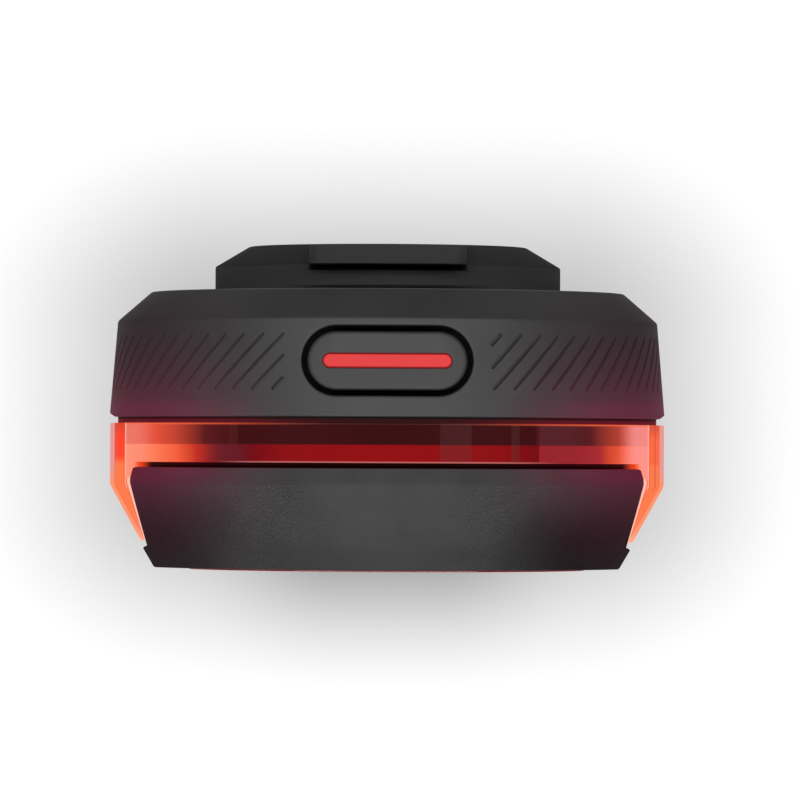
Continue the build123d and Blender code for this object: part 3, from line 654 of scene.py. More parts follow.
class Paint:
    """Builds one material's nodes."""

    def __init__(self, name: str) -> None:
        """Starts a material without nodes.

        Args:
            name: Name of the material.
        """
        self.material = bpy.data.materials.new(name)
        self.material.use_nodes = True
        self.tree = self.material.node_tree
        self.tree.nodes.clear()
        self._place: dict[str, Term] = {}

    def node(self, kind: str, settings: dict | None = None, inputs: dict | None = None, output: int | str = 0) -> Term:
        """Adds a node.

        Args:
            kind: Type of the node.
            settings: Attributes of the node, with "stops" for a ramp's (position, colour) pairs.
            inputs: Values or terms by socket name or number.
            output: Name or number of the socket to return.

        Returns:
            Term of the chosen output.
        """
        made = self.tree.nodes.new(kind)
        for key, value in (settings or {}).items():
            if key == "stops":
                self._stops(made.color_ramp, value)
            else:
                setattr(made, key, value)
        for key, value in (inputs or {}).items():
            socket = made.inputs[key]
            if isinstance(value, Term):
                self.tree.links.new(value.socket, socket)
            elif isinstance(value, tuple) and len(value) == 3 and socket.type == "RGBA":
                socket.default_value = (*value, 1.0)
            else:
                socket.default_value = value
        return Term(self, made.outputs[output])

    def _stops(self, ramp: ColorRamp, stops: Sequence[tuple[float, Colour]]) -> None:
        """Sets a colour ramp's stops.

        Args:
            ramp: The ramp.
            stops: Position and colour of each stop, in order.
        """
        while len(ramp.elements) > 1:
            ramp.elements.remove(ramp.elements[-1])
        for i, (position, colour) in enumerate(stops):
            element = ramp.elements[0] if i == 0 else ramp.elements.new(position)
            element.position, element.color = position, (*colour, 1.0)

    @property
    def coordinates(self) -> Term:
        """Object coordinates, in metres."""
        return self.node("ShaderNodeTexCoord", output="Object")

    def along(self, axis: str) -> Term:
        """One object coordinate, in millimetres. The depth counts towards the front.

        Args:
            axis: One of x, depth and z.

        Returns:
            The coordinate, made once for each axis.
        """
        if axis not in self._place:
            split = {"x": "X", "depth": "Y", "z": "Z"}[axis]
            value = self.node("ShaderNodeSeparateXYZ", None, {0: self.coordinates}, split)
            self._place[axis] = value * (-1000.0 if axis == "depth" else 1000.0)
        return self._place[axis]

    def noise(self, size: float, detail: float = 2.0) -> Term:
        """Noise whose features are about a size in millimetres."""
        inputs = {"Vector": self.coordinates, "Scale": 1000.0 / size, "Detail": detail, "Roughness": 0.5}
        return self.node("ShaderNodeTexNoise", None, inputs, "Fac")

    def cells(self, size: float) -> Term:
        """Distance to the edges of cells that are about a size in millimetres."""
        inputs = {"Vector": self.coordinates, "Scale": 1000.0 / size}
        return self.node("ShaderNodeTexVoronoi", {"feature": "DISTANCE_TO_EDGE"}, inputs)

    def mixed(self, share: Term | float, first: Term | Colour, second: Term | Colour) -> Term:
        """Colour between two others."""
        return self.node("ShaderNodeMix", {"data_type": "RGBA"}, {0: share, 6: first, 7: second}, 2)

    def layered(self, base: Term | Colour, *layers: tuple[Term | float, Term | Colour]) -> Term:
        """Colour with others laid over it in turn.

        Args:
            base: Lowest colour.
            *layers: Share and colour of each layer.

        Returns:
            The finished colour.
        """
        for share, colour in layers:
            base = self.mixed(share, base, colour)
        return base

    def stepped(self, share: Term, *stops: tuple[float, Colour]) -> Term:
        """Colour that follows a ramp's stops."""
        return self.node("ShaderNodeValToRGB", {"stops": stops}, {0: share})

    def bumped(self, height: Term, distance: float) -> Term:
        """Surface normal of a height pattern whose relief is a distance in millimetres."""
        return self.node("ShaderNodeBump", None, {"Height": height, "Distance": distance * MM, "Strength": 1.0})

    def surface(self, **sockets: Term | float | Colour) -> Material:
        """Ends the material in a principled surface.

        Args:
            **sockets: Values by socket name, with underscores for spaces.

        Returns:
            The finished material.
        """
        inputs = {key.replace("_", " "): value for key, value in sockets.items()}
        return self.output(self.node("ShaderNodeBsdfPrincipled", None, inputs))

    def output(self, shader: Term) -> Material:
        """Links a shader to the material's output.

        Args:
            shader: Shader of the surface.

        Returns:
            The finished material.
        """
        end = self.tree.nodes.new("ShaderNodeOutputMaterial")
        self.tree.links.new(shader.socket, end.inputs["Surface"])
        return self.material


def grey(tone: float) -> Colour:
    """Neutral colour."""
    return tone, tone, tone


@dataclass(frozen=True)
class MouldedPlastic:
    """Black moulded plastic, with painted shade towards its sides and in gaps, and painted glow beside the lens.

    Args:
        name: Name of the material.
        colour: Base colour.
        roughness: Mean roughness.
        grain: Surface texture.
        relief: Height of the texture, in millimetres.
        glow_edge: Depth of the edge beside the lens, where its glow on the part is strongest.
        glow_away: 1 if the glow fades towards the front, where shade is painted too; -1 if towards the back.
        specular: Level of the plain reflection.
        side_shade_from: Distance from the middle at which the sides start to be painted darker as shade, and duller.
        well: Whether the inside of the button's gap is painted black as shade, and made fully rough.
        tabs: Whether the mount is painted with lighter tabs and wall and with shadow in the undercut and at the foot.
        side_shade_to: Distance from the middle at which that painted shade is darkest.
        smooth_until: Depth at which a leather grain starts.
    """

    name: str
    colour: Colour
    roughness: float = 0.54
    grain: Grain = Grain.SATIN
    relief: float = 0.006
    glow_edge: float = 0.0
    glow_away: int = 0
    specular: float = 0.5
    side_shade_from: float = 9.0
    well: bool = False
    tabs: bool = False
    side_shade_to: float = 19.0
    smooth_until: float = 17.72

    def _height(self, paint: Paint) -> Term:
        """Pattern of the surface texture.

        Args:
            paint: The material's nodes.

        Returns:
            Height, from 0 to about 1.
        """
        if self.grain is Grain.SATIN:
            return paint.noise(0.16)
        calm = abs(paint.along("x")).ramp(3.0, 8.0) * 0.6 + 0.4
        creases = (paint.cells(0.27).ramp(0.0, 0.12) * 0.7 + paint.noise(0.13) * 0.6) * calm
        return creases * paint.along("depth").ramp(self.smooth_until, self.smooth_until + 0.15)

    def _sunk(self, paint: Paint) -> Term:
        """1 inside the button's well, below its rim.

        Args:
            paint: The material's nodes.

        Returns:
            The mask.
        """
        half_width, reach = 2.45, 3.525
        past = (abs(paint.along("x")) - reach).most(0.0)
        inside = past.distance(paint.along("depth") - BUTTON_CENTRE).ramp(half_width + 0.02, half_width - 0.02)
        low = paint.along("x").distance(paint.along("z") - RISE).ramp(19.45, 19.30)
        return inside * low * paint.along("z").ramp(44.0, 45.0)

    def _painted_mount_light_and_shade(self, paint: Paint, colour: Term) -> Term:
        """Colour of the mount with painted light: lighter tabs and wall, and painted shadow in the undercut and at the
        foot.

        Args:
            paint: The material's nodes.
            colour: Colour of the plain plastic.

        Returns:
            The mount's colour.
        """
        high, depth, middle = abs(paint.along("z")), paint.along("depth"), abs(paint.along("x")).ramp(6.0, 5.8)
        # Painted shadow under the tabs and at the foot; the tab ends and the wall are painted lighter.
        undercut_shade = depth.between(1.60, 1.66, 1.96, 2.10) * high.ramp(11.0, 12.0) * middle
        foot = depth.ramp(3.05, 3.2) * abs(paint.along("x")).ramp(9.0, 4.0) * 0.8
        return paint.layered(colour, (high.ramp(13.08, 13.18) * middle, (0.066, 0.066, 0.067)),
                             (depth.ramp(1.50, 1.68) * 0.8, grey(0.062)), (undercut_shade.most(foot), grey(0.001)))

    def material(self) -> Material:
        """Makes the material.

        Returns:
            The finished material.
        """
        paint = Paint(self.name)
        side, cloud, height = abs(paint.along("x")), paint.noise(3.0, 3.0), self._height(paint)
        tone = tuple(c * 0.82 for c in self.colour), tuple(c * 1.2 for c in self.colour)
        colour = paint.mixed(cloud.ramp(0.25, 0.75) * 0.6 + height * 0.4, *tone)
        # Painted shade: darker towards the sides, which are also made duller.
        flank = side.ramp(self.side_shade_from, self.side_shade_to)
        colour = paint.mixed(flank * 0.7, colour, grey(0.004))
        # Painted shade on the cover: darker towards its front, and more so on its right.
        if self.glow_away > 0:
            lean = (side + paint.along("x").most(0.0) * 0.35).ramp(self.side_shade_from, self.side_shade_to)
            painted_front_shade = lean.powered(0.6) * paint.along("depth").ramp(16.8, 22.0)
            colour = paint.mixed(painted_front_shade * 0.95, colour, grey(0.001))
        roughness = (cloud - 0.5) * 0.12 + self.roughness + flank * 0.4
        if self.tabs:
            colour = self._painted_mount_light_and_shade(paint, colour)
        # Painted shade: the button's well below its rim is painted near black.
        if self.well:
            sunk = self._sunk(paint)
            colour, roughness = paint.mixed(sunk, colour, grey(0.001)), roughness.most(sunk)
        # Painted glow: emission stands in for the lens's light on the plastic beside it, a little stronger on the
        # cover's bevel.
        glow = {}
        if self.glow_away:
            away = ((paint.along("depth") - self.glow_edge) * self.glow_away).most(0.0)
            bevel = 1.0 + away.ramp(0.80, 0.72) * 0.15
            share = side.ramp(6.0, 17.0) * away.decay(2.65) * bevel
            glow = {"Emission_Color": paint.mixed(share, grey(0.0), (0.090, 0.0, 0.021)), "Emission_Strength": 1.0}
        return paint.surface(Base_Color=colour, Roughness=roughness, Normal=paint.bumped(height, self.relief),
                             Specular_IOR_Level=self.specular, **glow)


@dataclass(frozen=True)
class LitLens:
    """Red lens, lit from inside towards both long sides and dim over the ends.

    Args:
        name: Name of the material.
        inner_step: Depth at which the lit inner wall starts, seen through the lens.
        wall: Thickness of the side walls, as seen edge-on.
        skin: Thickness of the pale outermost part of those walls.
        scratch: Distance of a dark line in those walls from the outside.
        led_pitch: Spacing of the lights behind the long sides.
    """

    name: str = "lens_red"
    inner_step: float = 15.04
    wall: float = 1.30
    skin: float = 0.50
    scratch: float = 0.82
    led_pitch: float = 12.0

    def _zones(self, paint: Paint, side: Term, depth: Term) -> Term:
        """Glow of the band: a dim zone behind and a brighter one in front of the inner step.

        Args:
            paint: The material's nodes.
            side: Distance from the middle, across.
            depth: Depth.

        Returns:
            Colour of the glow.
        """
        cloud = (paint.noise(3.5, 1.0) - 0.5) * 0.6
        x, full = paint.along("x"), 20.0
        top = abs(paint.along("z")).ramp(30.5, 34.0)
        share = ((side - x * 0.018 - x.most(0.0) * 0.077 + cloud).least(full) / full).least(top * 0.2 + 0.8)
        dim = paint.stepped(
            share, (0.0, (0.009, 0.0010, 0.0012)), (0.52, (0.022, 0.0030, 0.0040)), (0.65, (0.080, 0.009, 0.011)),
            (0.74, (0.44, 0.044, 0.022)), (0.83, (0.76, 0.075, 0.036)), (0.92, (0.82, 0.17, 0.12)),
        )
        lit = paint.stepped(
            share, (0.0, (0.260, 0.0012, 0.0022)), (0.36, (0.230, 0.0015, 0.0025)), (0.50, (0.135, 0.0020, 0.0060)),
            (0.58, (0.160, 0.0060, 0.0100)), (0.68, (0.50, 0.026, 0.016)), (0.76, (0.90, 0.110, 0.040)),
            (0.84, (0.97, 0.200, 0.095)), (0.93, (0.95, 0.280, 0.170)),
        )
        patch = x.ramp(10.55, 10.70)
        dim = paint.mixed(patch * x.ramp(14.5, 12.5) * 0.75, dim, (0.078, 0.017, 0.024))
        lit = paint.layered(lit, (patch * x.ramp(15.7, 14.6) * 0.8, (0.32, 0.020, 0.028)),
                            (x.ramp(-9.2, -10.6) * x.ramp(-13.2, -11.6) * 0.6, (0.085, 0.014, 0.022)))
        glow = paint.mixed(depth.ramp(self.inner_step - 0.05, self.inner_step + 0.05), dim, lit)
        return paint.mixed(x.ramp(16.2, 17.8) * top * 0.6, glow, (0.98, 0.340, 0.330))

    def _lines(self, paint: Paint, glow: Term, side: Term, depth: Term) -> Term:
        """Glow with a rib and bars painted in, and with painted highlights along its rear and front edges.

        Args:
            paint: The material's nodes.
            glow: Glow so far.
            side: Distance from the middle, across.
            depth: Depth.

        Returns:
            Colour of the glow.
        """
        s, x = STATIONS, paint.along("x")
        rib = side.between(10.3, 10.5, 10.9, 11.2) * depth.ramp(self.inner_step, self.inner_step - 0.05)
        bars = x.between(3.62, 3.74, 5.80, 5.95) + x.between(8.6, 8.7, 9.2, 9.3)
        # Painted highlights: bright lines along the rounded rear and front edges of the band.
        rear = depth.ramp(s.lens_rear + 0.17, s.lens_rear + 0.08) * side.ramp(3.0, 16.0)
        front = depth.ramp(s.lens_shoulder - 0.13, s.lens_shoulder - 0.05) * side.ramp(12.5, 9.0)
        return paint.layered(
            glow, (rib * 0.25, (0.10, 0.02, 0.02)),
            (bars * 0.30 * depth.ramp(s.lens_shoulder, s.lens_shoulder - 0.1), (0.070, 0.030, 0.032)),
            (rear * 0.7, (0.85, 0.12, 0.04)), (front * 0.6, (0.62, 0.20, 0.18)),
        )

    def _walls(self, paint: Paint, glow: Term, side: Term, depth: Term) -> Term:
        """Glow with the side walls, which are seen edge-on: a bright seam, the wall and its pale skin.

        Args:
            paint: The material's nodes.
            glow: Glow so far.
            side: Distance from the middle, across.
            depth: Depth.

        Returns:
            Colour of the glow.
        """
        s, right = STATIONS, paint.along("x").ramp(-1.0, 1.0)
        bend = s.lens_rear + s.lens_straight
        inset = s.lens_outer - (depth - bend).most(0.0) * s.lens_slope - side
        seam = inset.ramp(self.wall + 0.14, self.wall + 0.10) * inset.ramp(self.wall + 0.01, self.wall + 0.04)
        glow = paint.mixed(seam * 0.7 * depth.ramp(18.4, 17.6), glow, (1.0, 0.42, 0.32))
        lighter = depth.ramp(s.lens_shoulder - 0.5, s.lens_shoulder + 0.3).most(right * 0.6)
        scratch = inset - self.scratch
        line = scratch.ramp(0.10, 0.03) * scratch.ramp(-0.10, -0.03) * right
        rim = inset.ramp(self.wall - 0.10, self.wall - 0.02) + inset.ramp(self.skin + 0.07, self.skin + 0.02)
        pale = paint.mixed(depth.ramp(bend - 1.4, bend + 0.3), (0.74, 0.270, 0.250), (0.95, 0.250, 0.100))
        wall = paint.layered(
            (0.98, 0.040, 0.004), (lighter, (0.98, 0.175, 0.045)),
            (depth.ramp(14.7, 13.6) * 0.55, (0.42, 0.036, 0.012)),
            (line * 0.45 * depth.ramp(18.6, 17.9), (0.50, 0.040, 0.020)),
            (rim.least(1.0) * 0.5, (0.62, 0.030, 0.010)), (inset.ramp(self.skin + 0.01, self.skin - 0.06), pale),
        )
        return paint.mixed(inset.ramp(self.wall + 0.01, self.wall - 0.03), glow, wall)

    def _flank_line(self, paint: Paint, glow: Term, side: Term, depth: Term) -> Term:
        """Glow with a bright line beside the cover's flank, and a darker one next to it.

        Args:
            paint: The material's nodes.
            glow: Glow so far.
            side: Distance from the middle, across.
            depth: Depth.

        Returns:
            Colour of the glow.
        """
        s = STATIONS
        past = side - (s.end_radius - s.flank_rear_inset - (depth - s.cover_shoulder).most(0.0) * s.flank_slope)
        front = depth.ramp(s.cover_rear + 0.5, s.cover_rear + 0.9)
        return paint.layered(glow, (past.ramp(0.36, 0.26) * front * 0.7, (0.86, 0.085, 0.020)),
                             (past.ramp(0.24, 0.19) * front, (1.0, 0.50, 0.38)))

    def material(self) -> Material:
        """Makes the material.

        Returns:
            The finished material.
        """
        paint = Paint(self.name)
        side, depth, height = abs(paint.along("x")), paint.along("depth"), abs(paint.along("z"))
        glow = self._zones(paint, side, depth)
        for layer in (self._lines, self._walls):
            glow = layer(paint, glow, side, depth)
        turn = (paint.along("z") / self.led_pitch + 0.25) * (2 * math.pi)
        spots = paint.node("ShaderNodeMath", {"operation": "SINE"}, {0: turn})
        step = depth.ramp(self.inner_step - 0.1, self.inner_step + 0.1)
        long_side = paint.layered((0.86, 0.040, 0.012), (spots * 0.4 + 0.5, (0.98, 0.130, 0.050)),
                                  (step * 0.35, (1.0, 0.17, 0.08)))
        glow = paint.mixed(height.ramp(RISE + 2.5, RISE - 1.0), glow, long_side)
        return paint.surface(
            Base_Color=(0.026, 0.0010, 0.0014), Roughness=side.ramp(16.5, 18.5) * 0.55 + 0.16, Specular_IOR_Level=0.16,
            Emission_Color=self._flank_line(paint, glow, side, depth), Emission_Strength=1.0,
            Normal=paint.bumped(paint.noise(0.8), 0.003),
        )


@dataclass(frozen=True)
class SealRubber:
    """Black rubber in the gaps beside the lens, which takes on the lens's glow.

    Args:
        name: Name of the material.
        front: Depth at which the seal in front of the lens starts.
        lit_from: Distance from the middle at which that seal starts to be lit.
        lit_to: Distance at which it is fully lit.
    """

    name: str = "seal_black"
    front: float = 16.0
    lit_from: float = 16.7
    lit_to: float = 17.9

    def material(self) -> Material:
        """Makes the material.

        Returns:
            The finished material.
        """
        paint = Paint(self.name)
        side, grain, depth = abs(paint.along("x")), paint.noise(0.3, 3.0), paint.along("depth")
        # Painted glow: emission stands in for the lens's light on the rubber, with the seal's ends lit orange.
        glow = paint.mixed(side.ramp(2.0, 15.0), (0.030, 0.0010, 0.0020), (0.110, 0.004, 0.013))
        near = depth.between(13.10, 13.40, 16.36, 16.66)
        glow = paint.mixed(near * depth.ramp(self.front, 15.0).most(0.22), grey(0.0), glow)
        ends = side.ramp(self.lit_from, self.lit_to) * depth.ramp(self.front, self.front + 0.1)
        return paint.surface(
            Base_Color=paint.mixed(grain, grey(0.006), (0.010, 0.009, 0.009)), Roughness=grain * 0.1 + 0.8,
            Specular_IOR_Level=0.1, Normal=paint.bumped(grain, 0.01),
            Emission_Color=paint.mixed(ends, glow, (0.86, 0.060, 0.012)), Emission_Strength=1.0,
        )


@dataclass(frozen=True)
class SmokedPane:
    """Polished smoked-red pane.

    Args:
        name: Name of the material.
    """

    name: str = "window_smoke"

    def material(self) -> Material:
        """Makes the material.

        Returns:
            The finished material.
        """
        paint = Paint(self.name)
        # Painted glow: a faint red emission over the whole pane.
        return paint.surface(
            Base_Color=paint.mixed(paint.noise(6.0), (0.62, 0.016, 0.024), (0.70, 0.022, 0.032)), Roughness=0.05,
            IOR=1.49, Transmission_Weight=0.85, Coat_Weight=0.3, Coat_Roughness=0.03,
            Emission_Color=(0.045, 0.002, 0.003), Emission_Strength=1.0,
        )


@dataclass(frozen=True)
class LightBar:
    """Lit bar in the button, bright in the middle with a deep red rim.

    Args:
        name: Name of the material.
        reach: Distance from the middle at which its round ends start.
    """

    name: str = "bar_red"
    reach: float = 4.0

    def material(self) -> Material:
        """Makes the material.

        Returns:
            The finished material.
        """
        paint = Paint(self.name)
        past = (abs(paint.along("x")) - self.reach).most(0.0)
        rim = past.distance(paint.along("depth") - BUTTON_CENTRE).ramp(0.37, 0.46)
        return paint.surface(
            Base_Color=(0.03, 0.002, 0.002), Roughness=0.5, Specular_IOR_Level=0.12,
            Emission_Color=paint.mixed(rim, (0.74, 0.050, 0.050), (0.22, 0.003, 0.005)), Emission_Strength=1.0,
            Normal=paint.bumped(paint.noise(0.5), 0.003),
        )


@dataclass(frozen=True)
class PlainFinish:
    """Finish of an inner or small part, with fine mottling.

    Args:
        name: Name of the material.
        colour: Base colour.
        roughness: Mean roughness.
        metallic: 1 for metal.
        relief: Height of the texture, in millimetres.
        grain_size: Size of its features, in millimetres.
        see_through: Share of light let through.
        glow: Emitted colour.
    """

    name: str
    colour: Colour
    roughness: float = 0.5
    metallic: float = 0.0
    relief: float = 0.005
    grain_size: float = 0.5
    see_through: float = 0.0
    glow: Colour = (0.0, 0.0, 0.0)

    def material(self) -> Material:
        """Makes the material.

        Returns:
            The finished material.
        """
        paint = Paint(self.name)
        grain = paint.noise(self.grain_size, 3.0)
        dark, light = tuple(c * 0.8 for c in self.colour), tuple(min(1.0, c * 1.15) for c in self.colour)
        return paint.surface(
            Base_Color=paint.mixed(grain, dark, light), Roughness=(grain - 0.5) * 0.2 + self.roughness,
            Metallic=self.metallic, Transmission_Weight=self.see_through, Normal=paint.bumped(grain, self.relief),
            Emission_Color=self.glow, Emission_Strength=1.0,
        )


@dataclass(frozen=True)
class Palette:
    """Every finish of the light, each named as the slot that it fills.

    Args:
        finishes: One entry for each slot.
    """

    finishes: tuple = (
        MouldedPlastic("housing_black", (0.029, 0.029, 0.030), glow_edge=12.7, glow_away=-1, well=True),
        MouldedPlastic("cover_black", (0.040, 0.040, 0.041), 0.50, Grain.LEATHER, 0.032, 17.0, 1, specular=0.22),
        MouldedPlastic("hub_black", (0.034, 0.034, 0.035), 0.75, specular=0.08, side_shade_from=5.0, tabs=True),
        MouldedPlastic("button_black", (0.026, 0.026, 0.027)),
        LitLens(),
        SmokedPane(),
        LightBar(),
        PlainFinish("mask_black", grey(0.008), 0.2),
        SealRubber(),
        PlainFinish("chip_black", (0.018, 0.018, 0.019), 0.5),
        PlainFinish("plunger_white", (0.7, 0.7, 0.68), 0.45),
        PlainFinish("board_green", (0.012, 0.085, 0.035), 0.35, relief=0.01, grain_size=1.2),
        PlainFinish("led_red", (0.75, 0.20, 0.10), 0.3, glow=(2.4, 0.20, 0.10)),
        PlainFinish("frame_grey", (0.20, 0.20, 0.21), 0.55),
        PlainFinish("foam_grey", grey(0.06), 0.95, relief=0.05, grain_size=0.6),
        PlainFinish("battery_silver", (0.55, 0.55, 0.57), 0.35, 1.0, 0.01, 2.0),
        PlainFinish("flex_amber", (0.42, 0.18, 0.03), 0.35),
        PlainFinish("steel", (0.52, 0.52, 0.53), 0.32, 1.0, 0.003, 0.4),
        PlainFinish("flap_rubber", (0.022, 0.022, 0.024), 0.8, relief=0.012, grain_size=0.25),
        PlainFinish("optic_clear", (0.85, 0.85, 0.86), 0.08, see_through=0.9),
        PlainFinish("copper", (0.70, 0.32, 0.16), 0.3, 1.0),
    )

    def materials(self) -> dict[str, Material]:
        """Makes every material, by slot name."""
        return {finish.name: finish.material() for finish in self.finishes}


@dataclass
class Piece:
    """Finished part of the scene, ready to be put on its body.

    Args:
        object: The mesh object.
        slot: Finish that it takes.
        replaces: Solids that it stands for.
        body: Body that it rides on.
    """

    object: Object
    slot: str
    replaces: tuple[str, ...] = ()
    body: Body = Body.LIGHT


class Net:
    """Geometry tree with a geometry input and output, a finish, and named inputs of other kinds."""

    def __init__(self, name: str, **inputs: str) -> None:
        """Starts a tree that has only its inputs and output.

        Args:
            name: Name of the tree.
            **inputs: Kind of each further input, by its name.
        """
        self.group = bpy.data.node_groups.new(name, "GeometryNodeTree")
        face = self.group.interface
        for label, kind in {"Geometry": "Geometry", **inputs, "Finish": "Material"}.items():
            face.new_socket(label, in_out="INPUT", socket_type=f"NodeSocket{kind}")
        face.new_socket("Geometry", in_out="OUTPUT", socket_type="NodeSocketGeometry")
        self.given = self.add("NodeGroupInput")

    def add(self, kind: str, inputs: dict | None = None, **settings: object) -> NodeOutputs:
        """Adds a node.

        Args:
            kind: Type of the node.
            inputs: Values or output sockets, by socket name or number.
            **settings: Attributes, set before the sockets.

        Returns:
            The node's outputs.
        """
        node = self.group.nodes.new(kind)
        for key, value in settings.items():
            setattr(node, key, value)
        for key, value in (inputs or {}).items():
            if isinstance(value, NodeSocket):
                self.group.links.new(value, node.inputs[key])
            else:
                node.inputs[key].default_value = value
        return node.outputs

    def copied(self, part: NodeSocket, **inputs: NodeSocket) -> NodeSocket:
        """Real copies of a part on every point that the tree is given.

        Args:
            part: Geometry to copy.
            **inputs: Further sockets of the node that places the copies.

        Returns:
            The copies' geometry.
        """
        sockets = {"Points": self.given["Geometry"], "Instance": part, **inputs}
        placed = self.add("GeometryNodeInstanceOnPoints", sockets)
        return self.add("GeometryNodeRealizeInstances", {"Geometry": placed["Instances"]})["Geometry"]

    def ended(self, geometry: NodeSocket) -> NodeTree:
        """The tree, whose result is this geometry in the given finish.

        Args:
            geometry: Result of the tree's other nodes.

        Returns:
            The finished tree.
        """
        dressed = self.add("GeometryNodeSetMaterial", {"Geometry": geometry, "Material": self.given["Finish"]})
        self.add("NodeGroupOutput", {"Geometry": dressed["Geometry"]})
        return self.group


@dataclass
class Copies:
    """Copies of one small part, set out by Geometry Nodes.

    Args:
        name: Name of the finished object.
        slot: Finish that it takes.
        part: Part to copy, made round the origin. It is used up.
        places: Where each copy's origin goes, in millimetres.
        replaces: Solids that the copies stand for.
        body: Body that they ride on.
        vary: Share by which the copies' sizes differ.
        seed: Fixed seed of those differences.
    """

    name: str
    slot: str
    part: Object
    places: Sequence[Vector]
    replaces: tuple[str, ...] = ()
    body: Body = Body.LIGHT
    vary: float = 0.0
    seed: int = 7

    def tree(self) -> NodeTree:
        """Node tree that puts the part on each point.

        Returns:
            The finished tree.
        """
        net = Net(f"{self.name}_copies", Part="Object", Vary="Float", Seed="Int")
        part = net.add("GeometryNodeObjectInfo", {"Object": net.given["Part"]})
        chance = net.add("FunctionNodeRandomValue", {2: -1.0, 3: 1.0, "Seed": net.given["Seed"]}, data_type="FLOAT")
        size = net.add("ShaderNodeMath", {0: chance[1], 1: net.given["Vary"], 2: 1.0}, operation="MULTIPLY_ADD")
        return net.ended(net.copied(part["Geometry"], Scale=size["Value"]))

    def piece(self, finishes: Finishes) -> Piece:
        """Makes the copies as one object.

        Args:
            finishes: Every finish, by slot name.

        Returns:
            The finished piece.
        """
        points = SHAPER.points(self.name, (place * MM for place in self.places))
        values = {"Part": self.part, "Vary": self.vary, "Seed": self.seed, "Finish": finishes[self.slot]}
        SHAPER.grown(points, self.tree(), values)
        bpy.data.objects.remove(self.part)
        return Piece(SHAPER.finish(points), self.slot, self.replaces, self.body)


